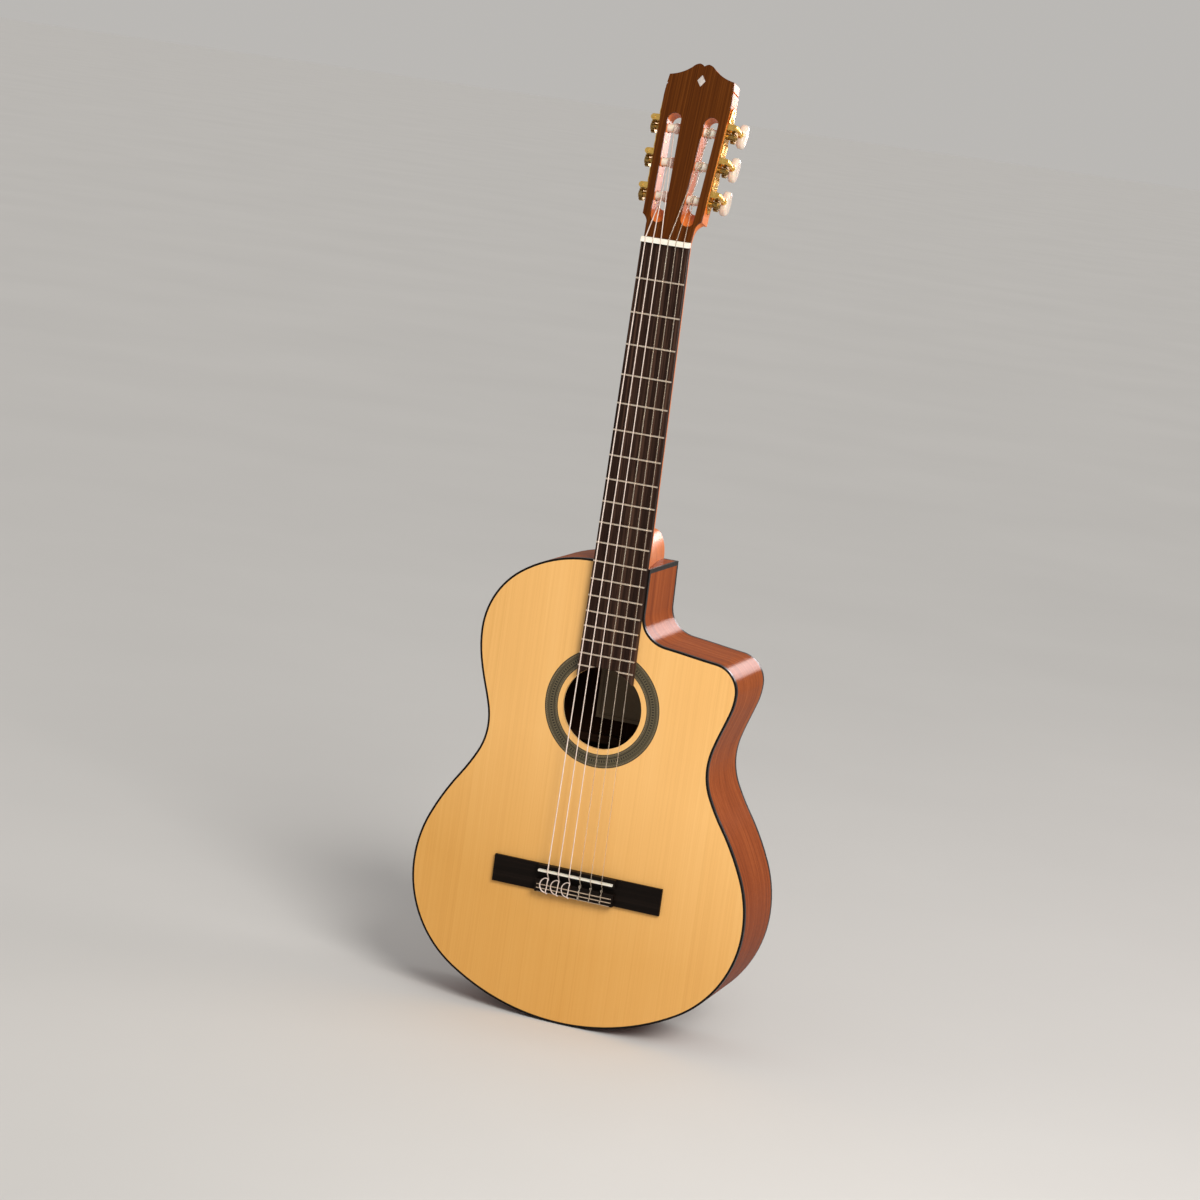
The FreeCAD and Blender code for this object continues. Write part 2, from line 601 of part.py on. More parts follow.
def heel_section(depth, half, reach):
    """Half an ellipse standing on the shoulder line, flat at one depth."""
    top = size("shoulder_height")
    points = []
    for step in range(9):
        angle = math.pi * step / 8
        points.append(V(half * math.cos(angle), FRONT + depth, top + reach * math.sin(angle)))
    curve = Part.BSplineCurve()
    curve.interpolate(points)
    return Part.Wire([curve.toShape(), Part.LineSegment(points[-1], points[0]).toShape()])


cap = size("heel_cap_thickness")
back_depth = size("shoulder_depth")
neck_back = size("neck_thickness_at_body")
sweep = size("heel_sweep")


def heel_half(depth):
    """Half-width of the heel, narrowing from the neck to the cap."""
    share = depth / (back_depth + 3)
    top_half = size("board_half_at_body") - 0.3
    return size("heel_half_at_back") + (top_half - size("heel_half_at_back")) * (1 - share) ** 1.5


def heel_reach(depth):
    """How far the heel stands up the neck from the shoulder."""
    if depth < neck_back:
        return size("heel_reach") + sweep - (neck_back - depth) * 0.9
    if depth < neck_back + sweep:
        share = 1 - (depth - neck_back) / sweep
        return size("heel_reach") + sweep * (1 - math.sqrt(1 - share ** 2))
    return size("heel_reach")


stages = [1, 6, 11, 15]
stages += [neck_back + sweep * share for share in (0, 0.06, 0.16, 0.3, 0.5, 0.75, 1)]
stages += [56, 70, 84, back_depth + 3]
heel_solid = Part.makeLoft([heel_section(d, heel_half(d), heel_reach(d)) for d in stages], True, True)
cap_limit = block(-60, 60, back_depth - cap, FAR, 470, 560)
outer_limit = block(-60, 60, back_depth, FAR + 10, 470, 560)
heel_cap = heel_solid.common(cap_limit).cut(outer_limit)
add_shape("heel_cap", heel_cap)
tenon = block(-size("tenon_half") + 0.05, size("tenon_half") - 0.05, 0.1, TENON_END - 0.05,
              FOOT_TOP, size("shoulder_height"))
heel_shape = heel_solid.cut(block(-60, 60, back_depth - cap, FAR + 10, 470, 560)).cut(shaft)
heel_shape = heel_shape.fuse(tenon).fuse(foot).removeSplitter()
heel_shape = Part.makeCompound([max(heel_shape.Solids, key=lambda s: s.Volume)])
add_shape("heel", heel_shape.Solids[0])

# ---------------------------------------------------------------- head

SLANT = size("head_side_slant")
TAN_SLANT = math.tan(math.radians(SLANT))


def head_half(along):
    """Half-width of the wooden head at a height up its face."""
    return size("head_side_start") + TAN_SLANT * along


def head_outline(start):
    """Front view of the head as (x, height up the face)."""
    waist = size("head_waist")
    shoulder = V(size("head_shoulder_half"), size("head_shoulder"), 0)
    tip = V(12, size("head_shoulder") + 10.2, 0)
    peak = V(4.8, size("head_peak"), 0)
    dip = V(0, size("head_notch"), 0)
    base = V(head_half(size("head_base")), size("head_base") + 1, 0)
    throat = V(size("head_throat_half") + 0.8, size("head_base") - 6, 0)
    foot_point = V(size("head_throat_half"), start, 0)
    flank = V(head_half(waist), waist, 0)
    right = [
        Part.LineSegment(foot_point, throat).toShape(),
        Part.Arc(throat, V(throat.x + 2.6, throat.y + 4.6, 0), base).toShape(),
        Part.LineSegment(base, flank).toShape(),
        Part.Arc(flank, V(head_half(160) - 1.0, 162, 0), shoulder).toShape(),
        Part.Arc(shoulder, V(22, size("head_shoulder") + 3.7, 0), tip).toShape(),
        Part.Arc(tip, V(8.6, peak.y - 1.3, 0), peak).toShape(),
        Part.Arc(peak, V(2.4, peak.y - 0.7, 0), dip).toShape(),
    ]
    left = [edge.mirror(V(), V(1, 0, 0)) for edge in right]
    base_line = Part.LineSegment(V(-foot_point.x, start, 0), foot_point).toShape()
    return Part.Wire(Part.__sortEdges__(right + left + [base_line]))


def stand(face, low, high):
    """Extrude a flat (x, height) face along the depth of the head's own frame."""
    solid = face.extrude(V(0, 0, low - high))
    solid.translate(V(0, 0, -low))
    solid.rotate(V(), V(1, 0, 0), 90)
    return solid


def side_nick(side):
    """The small V cut across each side of the head below its shoulder."""
    edge = (head_half(160) - 1) * side
    height = size("nick_height")
    half = size("nick_width")
    tip = V(edge - side * size("nick_depth"), height, 0)
    low, high = V(edge + side * 2, height - half, 0), V(edge + side * 2, height + half, 0)
    return stand(Part.Face(Part.makePolygon([tip, low, high, tip])), -1, size("head_thickness") + 1)


def slot_wire(side, bottom, depth):
    """A round-ended slot parallel to the side of the head, at one depth."""
    radius = size("slot_width") / 2
    inward = size("slot_wall") + radius
    slope = math.radians(SLANT)
    along = V(side * math.sin(slope), math.cos(slope), 0)
    across = V(math.cos(slope), -side * math.sin(slope), 0)
    middle = V(side * (head_half(0) - inward / math.cos(slope)), 0, 0)
    low_end = middle + along * (bottom + radius)
    high_end = middle + along * (size("slot_top") - radius)
    right, left = across * radius, across * -radius
    edges = [
        Part.LineSegment(low_end + right, high_end + right).toShape(),
        Part.Arc(high_end + right, high_end + along * radius, high_end + left).toShape(),
        Part.LineSegment(high_end + left, low_end + left).toShape(),
        Part.Arc(low_end + left, low_end - along * radius, low_end + right).toShape(),
    ]
    wire = Part.Wire(edges)
    wire.rotate(V(), V(1, 0, 0), 90)
    wire.translate(V(0, depth, 0))
    return wire


THICK = size("head_thickness")
PLATE_FACE = size("headplate_thickness")
drop = (size("slot_bottom_back") - size("slot_bottom_face")) / THICK
slots = []
for side in (-1, 1):
    top_wire = slot_wire(side, size("slot_bottom_face") - drop, -1)
    back_wire = slot_wire(side, size("slot_bottom_back") + drop, THICK + 1)
    slots.append(Part.makeLoft([top_wire, back_wire], True, True))

START = size("head_start")


def throat_section(along, half, depth, roundness):
    return section(half, depth - PLATE_FACE, roundness, lambda x, d: V(x, PLATE_FACE + d, along))


throat = Part.makeLoft([
    throat_section(START, size("head_throat_half"), 17.0, 2.35),
    throat_section(15, size("head_throat_half") + 0.4, 17.6, 2.9),
    throat_section(22, size("head_throat_half") + 1.6, 19.2, 4.2),
    throat_section(size("head_base") + 1.4, head_half(28.4), THICK, 9),
], True, False)
nicks = [side_nick(side) for side in (-1, 1)]
slab = stand(Part.Face(head_outline(START)), PLATE_FACE, THICK).cut(nicks)
lower_room = Part.makeBox(120, 60, size("head_base") + 1 - START + 5, V(-60, -10, START - 5))
core = slab.cut(lower_room).fuse(throat.common(lower_room)).removeSplitter()
for slot in slots:
    core = core.cut(slot)
plate = stand(Part.Face(head_outline(START)), 0, PLATE_FACE).cut(nicks)
under_nut = Part.makeBox(120, 40, 60, V(-60, FRONT - 20, NUT + size("nut_thickness") + 0.05 - 60))
under_nut.Placement = HEAD.inverse()
plate = plate.cut(under_nut)
for slot in slots:
    plate = plate.cut(slot)


def side_frame(side):
    """Frame on a tuner plate: X outward, Z up the side of the head, origin at roller depth."""
    shift = head_half(0) + size("plate_thickness") / math.cos(math.radians(SLANT))
    turn = FreeCAD.Rotation(V(0, 1, 0), side * SLANT)
    if side < 0:
        turn = turn.multiply(FreeCAD.Rotation(V(0, 0, 1), 180))
    spot = FreeCAD.Placement(V(side * shift, size("roller_depth"), 0), turn)
    return HEAD.multiply(spot)


ROLLERS = [size("roller_first") + size("roller_pitch") * step for step in range(3)]
CENTRES = (size("axial_pitch") * size("tooth_count") / (2 * math.pi) + size("worm_pitch_radius")
           + size("centre_gap"))
inverse = HEAD.inverse()
for side in (-1, 1):
    frame = inverse.multiply(side_frame(side))
    for along in ROLLERS:
        reach = size("roller_length") + 2.4
        bore = Part.makeCylinder(size("roller_hole"), reach, V(-reach, 0, along), V(1, 0, 0))
        bore.Placement = frame
        core = core.cut(bore)

SCREW_SPOTS = [size("plate_bottom") + 3.6, ROLLERS[0] + 20.6, ROLLERS[1] + 20.6,
               size("plate_top") - 4.2]
screw_depth = size("screw_length") + 0.4
for side in (-1, 1):
    frame = inverse.multiply(side_frame(side))
    for along in SCREW_SPOTS:
        pilot = Part.makeCylinder(size("screw_radius"), screw_depth, V(-screw_depth, 0, along),
                                  V(1, 0, 0))
        pilot.Placement = frame
        core = core.cut(pilot)
add_shape("headstock", core.Solids[0], HEAD)

lozenge = [V(0, 163, 0), V(4.2, 169, 0), V(0, 175, 0), V(-4.2, 169, 0), V(0, 163, 0)]
inlay = stand(Part.Face(Part.makePolygon(lozenge)), -0.05, 0.9)
add_shape("headplate", plate.cut(inlay).Solids[0], HEAD)
add_shape("head_inlay", inlay, HEAD)


# ---------------------------------------------------------------- tuning machines

def plate_outline():
    """Side plate: a long strip with rounded, waisted ends, as (along, depth)."""
    half = size("plate_width") / 2
    low, high = size("plate_bottom"), size("plate_top")
    edges = []
    for sign in (1, -1):
        a, b = V(low + 9, sign * half, 0), V(high - 18, sign * half, 0)
        edges.append(Part.LineSegment(a, b).toShape())
        lobe = V(high - 7, sign * (half - 1.6), 0)
        edges.append(Part.Arc(b, V(high - 12, sign * (half - 2.6), 0), lobe).toShape())
        edges.append(Part.Arc(lobe, V(high - 2.2, sign * 3.6, 0), V(high, 0, 0)).toShape())
        edges.append(Part.Arc(a, V(low + 3.2, sign * (half - 2.2), 0), V(low, 0, 0)).toShape())
    return Part.Wire(Part.__sortEdges__(edges))


def tuner_plate():
    flat = Part.Face(plate_outline()).extrude(V(0, 0, size("plate_thickness")))
    flat.Placement = placed(x=-size("plate_thickness"), axis=V(1, 0, 1), angle=180)
    post_half = size("post_half")
    inner = size("plate_width") / 2 - size("post_thickness")
    for along in ROLLERS:
        flat = flat.cut(Part.makeCylinder(size("plate_hole"), 6, V(-3, 0, along), V(1, 0, 0)))
        axis = along + CENTRES
        for sign in (1, -1):
            y = inner if sign > 0 else -inner - size("post_thickness")
            post = Part.makeBox(size("worm_offset"), size("post_thickness"), 2 * post_half,
                                V(-0.2, y, axis - post_half))
            cheek = Part.makeCylinder(post_half, size("post_thickness"),
                                      V(size("worm_offset") - 0.2, y, axis), V(0, 1, 0))
            flat = flat.fuse(post).fuse(cheek)
        bore = Part.makeCylinder(size("worm_shaft") + size("running_gap"), 40,
                                 V(size("worm_offset"), -20, axis), V(0, 1, 0))
        flat = flat.cut(bore)
    for along in SCREW_SPOTS:
        flat = flat.cut(Part.makeCylinder(size("screw_radius") + 0.05, 6, V(-3, 0, along), V(1, 0, 0)))
    return flat.removeSplitter()


plate_shape = tuner_plate()
add_shape("tuner_plate_bass", plate_shape, side_frame(-1))
add_shape("tuner_plate_treble", plate_shape, side_frame(1))

screws = []
for side in (-1, 1):
    for along in SCREW_SPOTS:
        stem = Part.makeCylinder(size("screw_radius") - 0.02, size("screw_length"),
                                 V(-size("screw_length"), 0, along), V(1, 0, 0))
        head = Part.makeSphere(size("screw_head") * 1.25, V(-size("screw_head") * 0.75, 0, along),
                               V(1, 0, 0))
        head = head.common(Part.makeBox(9, 9, 9, V(0.02, -4.5, along - 4.5)))
        collar = Part.makeCylinder(size("screw_radius") - 0.02, 0.4, V(-0.2, 0, along), V(1, 0, 0))
        screw = stem.fuse(head).fuse(collar)
        slit = Part.makeBox(1, 0.5, 9, V(0.75, -0.25, along - 4.5))
        screw = screw.cut(slit).removeSplitter()
        screw.Placement = side_frame(side)
        screws.append(screw.Solids[0])
add_shape("plate_screws", Part.makeCompound(screws))


def gear_shape():
    """Worm wheel and its steel shaft, turning about X, with slanted teeth."""
    pitch_radius = size("axial_pitch") * size("tooth_count") / (2 * math.pi)
    tip = pitch_radius + size("addendum")
    root = pitch_radius - size("dedendum")
    low = size("worm_offset") - size("gear_width") / 2
    high = low + size("gear_width")
    slope = size("axial_pitch") / (2 * math.pi * size("worm_pitch_radius"))
    flank = math.tan(math.radians(size("pressure_angle")))
    gap = size("axial_pitch") / 2 - size("half_tooth")
    wheel = Part.makeCylinder(tip, size("gear_width"), V(low, 0, 0), V(1, 0, 0))
    top = tip + 0.4
    narrow = gap - (pitch_radius - root) * flank
    broad = gap + (top - pitch_radius) * flank
    skew = size("gear_width") / 2 + 1
    start = V(size("worm_offset") - skew, skew * slope, 0)
    corners = [V(0, -narrow, root), V(0, narrow, root), V(0, broad, top), V(0, -broad, top)]
    outline = Part.makePolygon([start + corner for corner in corners + corners[:1]])
    cutter = Part.Face(outline).extrude(V(2 * skew, -2 * skew * slope, 0))
    turn = 360 / size("tooth_count")
    for tooth in range(int(size("tooth_count"))):
        gap_solid = cutter.copy()
        gap_solid.rotate(V(), V(1, 0, 0), turn * (tooth + 0.5))
        wheel = wheel.cut(gap_solid)
    hub = Part.makeCylinder(size("bearing_radius"), low + size("roller_start"),
                            V(-size("roller_start"), 0, 0), V(1, 0, 0))
    boss = Part.makeCylinder(4, 0.6, V(high, 0, 0), V(1, 0, 0))
    knob = Part.makeSphere(4.6, V(high - 2.6, 0, 0), V(1, 0, 0))
    knob = knob.common(Part.makeBox(6, 8, 8, V(high, -4, -4)))
    knob = knob.cut(Part.makeBox(4, 0.8, 12, V(high + 1.2, -0.4, -6)))
    axle = Part.makeCylinder(size("shaft_radius"), size("roller_length") - 6,
                             V(-size("roller_length") + 6, 0, 0), V(1, 0, 0))
    return wheel.fuse(hub).fuse(boss).fuse(knob).fuse(axle).removeSplitter()


GEAR = gear_shape()


def slot_middle():
    return -(size("plate_thickness") + size("slot_wall") + size("slot_width") / 2)


def string_side(number):
    """The side (+1 treble, -1 bass) and the roller index of a string, 1 to 6."""
    return (1, number - 1) if number <= 3 else (-1, 6 - number)


def make_worm(name, placement):
    worm = add_body(name, placement)
    pitch_radius = "Sizes.worm_pitch_radius"
    core_radius = "Sizes.worm_pitch_radius-Sizes.dedendum"
    inner = "Sizes.plate_width/2-Sizes.post_thickness-0.15"
    outer = "Sizes.plate_width/2+0.2"
    seat = "Sizes.button_start-Sizes.roller_depth"
    sketch = sketch_on(worm, "XZ_Plane", name + "_shaft")
    polygon(sketch, [
        (0, "-(%s)-0.4" % outer), ("Sizes.worm_shaft", "-(%s)-0.4" % outer),
        ("Sizes.worm_shaft", "-(%s)" % inner), (core_radius, "-(%s)" % inner),
        (core_radius, inner), ("Sizes.worm_shaft", inner), ("Sizes.worm_shaft", outer),
        ("Sizes.collar_radius", outer), ("Sizes.collar_radius", outer + "+2.6"),
        ("Sizes.collar_radius-0.9", outer + "+3.4"), ("Sizes.collar_radius-0.9", seat + "-2.2"),
        ("Sizes.collar_radius+0.2", seat + "-1.2"), ("Sizes.collar_radius+0.2", seat),
        ("Sizes.button_bore-0.03", seat), ("Sizes.button_bore-0.03", seat + "+Sizes.button_bore_depth-0.4"),
        (0, seat + "+Sizes.button_bore_depth-0.4")])
    revolve(worm, sketch)
    # The thread starts where its gap, half a pitch on, meets a tooth of the wheel.
    start = "(-Sizes.axial_pitch*5/4)"
    flank = "tan(Sizes.pressure_angle*1deg)"
    sketch = sketch_on(worm, "XZ_Plane", name + "_thread_section")
    root = "(Sizes.half_tooth+Sizes.dedendum*%s)" % flank
    crest = "(Sizes.half_tooth-Sizes.addendum*%s)" % flank
    buried = "-(%s)+0.15" % core_radius
    outer_edge = "-(%s+Sizes.addendum)" % pitch_radius
    polygon(sketch, [
        (buried, "%s-%s" % (start, root)), (outer_edge, "%s-%s" % (start, crest)),
        (outer_edge, "%s+%s" % (start, crest)), (buried, "%s+%s" % (start, root))])
    helix = worm.newObject("PartDesign::AdditiveHelix", name + "_thread")
    helix.Profile = sketch
    helix.ReferenceAxis = (sketch, ["V_Axis"])
    helix.Mode = 0
    helix.setExpression("Pitch", "Sizes.axial_pitch")
    helix.setExpression("Height", "Sizes.axial_pitch*5/2")
    sketch.Visibility = False
    doc.recompute()
    return worm


def make_button(name, placement):
    button = add_body(name, placement)
    sketch = sketch_on(button, "YZ_Plane", name + "_oval")
    wide = size("button_width") / 2
    tall = size("button_height") / 2
    middle = size("button_start") - size("roller_depth") + tall
    ellipse = Part.Ellipse(V(wide, middle, 0), V(0, middle + tall, 0), V(0, middle, 0))
    sketch.addGeometry(ellipse)
    extrude(button, "Pad", sketch, "Sizes.button_thickness", False, True)
    sides = edges_where(button.Shape, lambda edge: edge.Length > 20)
    dress(button, "Fillet", sides, "Sizes.button_thickness*0.4")
    sketch = sketch_on(button, "XY_Plane", name + "_bore", "Sizes.button_start-Sizes.roller_depth-1")
    circle(sketch, 0, 0, "Sizes.button_bore")
    extrude(button, "Pocket", sketch, "Sizes.button_bore_depth+1", True)
    return button


def make_roller(name, placement, thick):
    """Nylon roller with the string wound on it as rings beside the arriving string."""
    roller = add_body(name, placement)
    roller.AllowCompound = True
    sketch = sketch_on(roller, "XY_Plane", name + "_section")
    near_end = "-Sizes.roller_start-0.02"
    far_end = "-Sizes.roller_start-Sizes.roller_length"
    bore_end = "-Sizes.roller_length+5.9"
    bore = "Sizes.shaft_radius+0.01"
    polygon(sketch, [
        (near_end, bore), (near_end, "Sizes.roller_radius"), (far_end + "+0.6", "Sizes.roller_radius"),
        (far_end, "Sizes.roller_radius-0.6"), (far_end, 0), (bore_end, 0), (bore_end, bore)])
    revolve(roller, sketch, "H_Axis")
    sketch = sketch_on(roller, "XY_Plane", name + "_winding")
    radius = thick / 2
    for turn in range(4):
        across = slot_middle() - (thick + 0.3 + turn * (thick + 0.04))
        circle(sketch, across, "Sizes.roller_radius+%g" % (radius + 0.03), radius)
    revolve(roller, sketch, "H_Axis")
    return roller


for number in range(1, 7):
    side, index = string_side(number)
    frame = side_frame(side)
    along = ROLLERS[index]
    add_shape("gear_%d" % number, GEAR, frame.multiply(placed(z=along)))
    make_roller("roller_%d" % number, frame.multiply(placed(z=along)), STRING_DIAMETERS[number - 1])
    turn = FreeCAD.Rotation(V(0, 1, 0), side * SLANT).multiply(FreeCAD.Rotation(V(1, 0, 0), -90))
    spot = inverse.multiply(frame).multVec(V(size("worm_offset"), 0, along + CENTRES))
    worm_place = HEAD.multiply(FreeCAD.Placement(spot, turn))
    make_worm("worm_%d" % number, worm_place)
    make_button("button_%d" % number, worm_place)


# ---------------------------------------------------------------- strings

def string_route(number):
    """The bends of one string from the tie block to its roller."""
    thick = STRING_DIAMETERS[number - 1]
    fraction = 1 - 2 * (number - 1) / 5
    at_nut = size("nut_spread") * fraction
    at_saddle = size("saddle_spread") * fraction
    radius = thick / 2
    lift = radius + 0.03
    side, index = string_side(number)
    frame = side_frame(side)
    line = size("tie_hole_height")
    over_block = FRONT - size("block_height") - lift - 0.2
    over_saddle = FRONT - size("saddle_string_height") - lift - 0.05
    points = [
        V(at_saddle, over_block, size("tie_top") - 0.6),
        V(at_saddle, over_block, size("bridge_bottom") - lift - 0.1),
        V(at_saddle, FRONT - line, size("bridge_bottom") - lift - 0.1),
        V(at_saddle, FRONT - line, size("tie_top") + 0.4),
        V(at_saddle, over_saddle, size("saddle_line") - size("saddle_thickness") / 2 - 0.2),
        V(at_saddle, over_saddle, size("saddle_line") + size("saddle_thickness") / 2 + 0.2),
        V(at_nut, FRONT - size("nut_string_height") - lift, NUT),
        V(at_nut, FRONT - size("nut_string_height") - lift, NUT + size("nut_thickness")),
    ]
    leave = HEAD.inverse().multVec(points[-1])
    centre = HEAD.inverse().multVec(frame.multVec(V(slot_middle(), 0, ROLLERS[index])))
    reach = size("roller_radius") + lift
    run, fall = centre.z - leave.z, centre.y - leave.y
    span = math.hypot(run, fall)
    heading = math.atan2(fall, run) - math.asin(reach / span)
    length = math.sqrt(span ** 2 - reach ** 2)
    touch = V(centre.x, leave.y + length * math.sin(heading), leave.z + length * math.cos(heading))
    points.append(HEAD.multVec(touch))
    return points, radius


for number in range(1, 7):
    points, radius = string_route(number)
    path = Part.Wire([Part.LineSegment(*pair).toShape() for pair in zip(points, points[1:])])
    start = Part.Circle(points[0], points[1] - points[0], radius).toShape()
    solid = path.makePipeShell([Part.Wire(start)], True, False, 1)
    add_shape("string_%d" % number, solid)

# ---------------------------------------------------------------- check and write

doc.recompute()
for item in doc.Objects:
    if "Invalid" in item.State or "Error" in item.State:
        raise RuntimeError("%s did not rebuild: %s" % (item.Label, item.State))
os.makedirs("parts", exist_ok=True)
for node in NODES:
    if node.Shape.isNull() or not node.Shape.isValid():
        raise RuntimeError("%s has no valid shape" % node.Label)
    node.Shape.exportStep("parts/%s.step" % node.Label)
    print(node.Label, len(node.Shape.Solids), round(node.Shape.Volume, 1))
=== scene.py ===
import bpy
import math
from mathutils import Matrix, Vector


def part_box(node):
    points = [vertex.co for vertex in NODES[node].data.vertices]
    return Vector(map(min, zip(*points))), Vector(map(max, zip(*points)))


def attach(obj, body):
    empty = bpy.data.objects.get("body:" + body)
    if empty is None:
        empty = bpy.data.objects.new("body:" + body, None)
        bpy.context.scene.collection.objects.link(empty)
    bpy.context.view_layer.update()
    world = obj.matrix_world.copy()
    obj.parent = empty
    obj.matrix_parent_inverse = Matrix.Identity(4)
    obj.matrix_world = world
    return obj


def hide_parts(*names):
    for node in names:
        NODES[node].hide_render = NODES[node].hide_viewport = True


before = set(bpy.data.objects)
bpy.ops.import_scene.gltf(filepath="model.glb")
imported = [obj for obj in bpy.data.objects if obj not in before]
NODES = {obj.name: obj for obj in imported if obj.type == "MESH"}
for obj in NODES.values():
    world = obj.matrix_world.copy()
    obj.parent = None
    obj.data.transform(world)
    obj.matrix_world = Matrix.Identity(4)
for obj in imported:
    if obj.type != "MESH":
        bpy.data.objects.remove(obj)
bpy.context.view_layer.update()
SCENE = bpy.context.scene

# ---------------------------------------------------------------- sizes shared with the frame

# Lengths are in metres, except where a comment says millimetres.
MM = 0.001


def middle(node):
    low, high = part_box(node)
    return (low + high) / 2


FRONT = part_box("soundboard")[0].y
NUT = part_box("fingerboard")[1].z
BRIDGE_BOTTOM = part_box("bridge")[0].z
HOLE_Z = middle("rosette").z
BODY_MIDDLE = 0.24

# The head, in millimetres: how far its face starts in front of the soundboard, and its half width.
HEAD_ANGLE = math.radians(14)
HEAD_LIFT = 2.5
HEAD_HALF = 29.9
SIDE_SLANT = math.radians(2.2)
HEAD = Matrix.Translation((0, FRONT - HEAD_LIFT * MM, NUT)) @ Matrix.Rotation(-HEAD_ANGLE, 4, "X")

# The strings, in millimetres, treble to bass.
STRING_NUMBERS = range(1, 7)
WOUND_STRINGS = (4, 5, 6)
STRING_DIAMETERS = (0.72, 0.82, 1.02, 1.0, 1.1, 1.25)
WIRE_PITCH = 0.32

# The tuning machines, in millimetres on the frame of a side plate.
ROLLER_SPOTS = (49.3, 84.3, 119.3)
ROLLER_DEPTH = 11
ROLLER_RADIUS = 5
ROLLER_START = 1.72
ROLLER_LENGTH = 27.5
SLOT_MIDDLE = -16.5
PLATE_THICKNESS = 1.2
PLATE_HALF = 7.5
PLATE_TOP = 148.0
PLATE_SHIFT = HEAD_HALF + PLATE_THICKNESS / math.cos(SIDE_SLANT)

# The bridge, in millimetres: rises from its lower edge, and depths in front of the soundboard.
TIE_TOP_RISE = 13.2
TIE_LINE_RISES = (8.1, 4.1)
TIE_HOLE_DEPTH = 5.6
TIE_BLOCK_DEPTH = (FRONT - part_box("bridge")[0].y) / MM
SADDLE_DEPTH = (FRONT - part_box("saddle")[0].y) / MM
SADDLE_HALF = (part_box("saddle")[1].z - middle("saddle").z) / MM
SADDLE_RISE = (middle("saddle").z - BRIDGE_BOTTOM) / MM
SADDLE_SPREAD = 29.5

# The nut, in millimetres: half the width of the strings on it, and how deep they lie there.
NUT_SPREAD = 20.2
NUT_DEPTH = 8.0
NUT_THICKNESS = (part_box("nut")[1].z - NUT) / MM


def side_frame(side):
    """Frame on a tuner plate: X outward, Z up the side of the head, origin at roller depth."""
    turn = Matrix.Rotation(side * SIDE_SLANT, 4, "Y")
    if side < 0:
        turn = turn @ Matrix.Rotation(math.pi, 4, "Z")
    shift = Matrix.Translation((side * PLATE_SHIFT * MM, ROLLER_DEPTH * MM, 0))
    return HEAD @ shift @ turn


def string_side(number):
    """The side (+1 treble, -1 bass) and the height on it of a string's roller."""
    side, index = (1, number - 1) if number <= 3 else (-1, 6 - number)
    return side, ROLLER_SPOTS[index]


# ---------------------------------------------------------------- material graphs

# Most of a noise lies between these two values.
NOISE_LOW = 0.3
NOISE_HIGH = 0.7
LACQUER_ROUGHNESS = 0.18


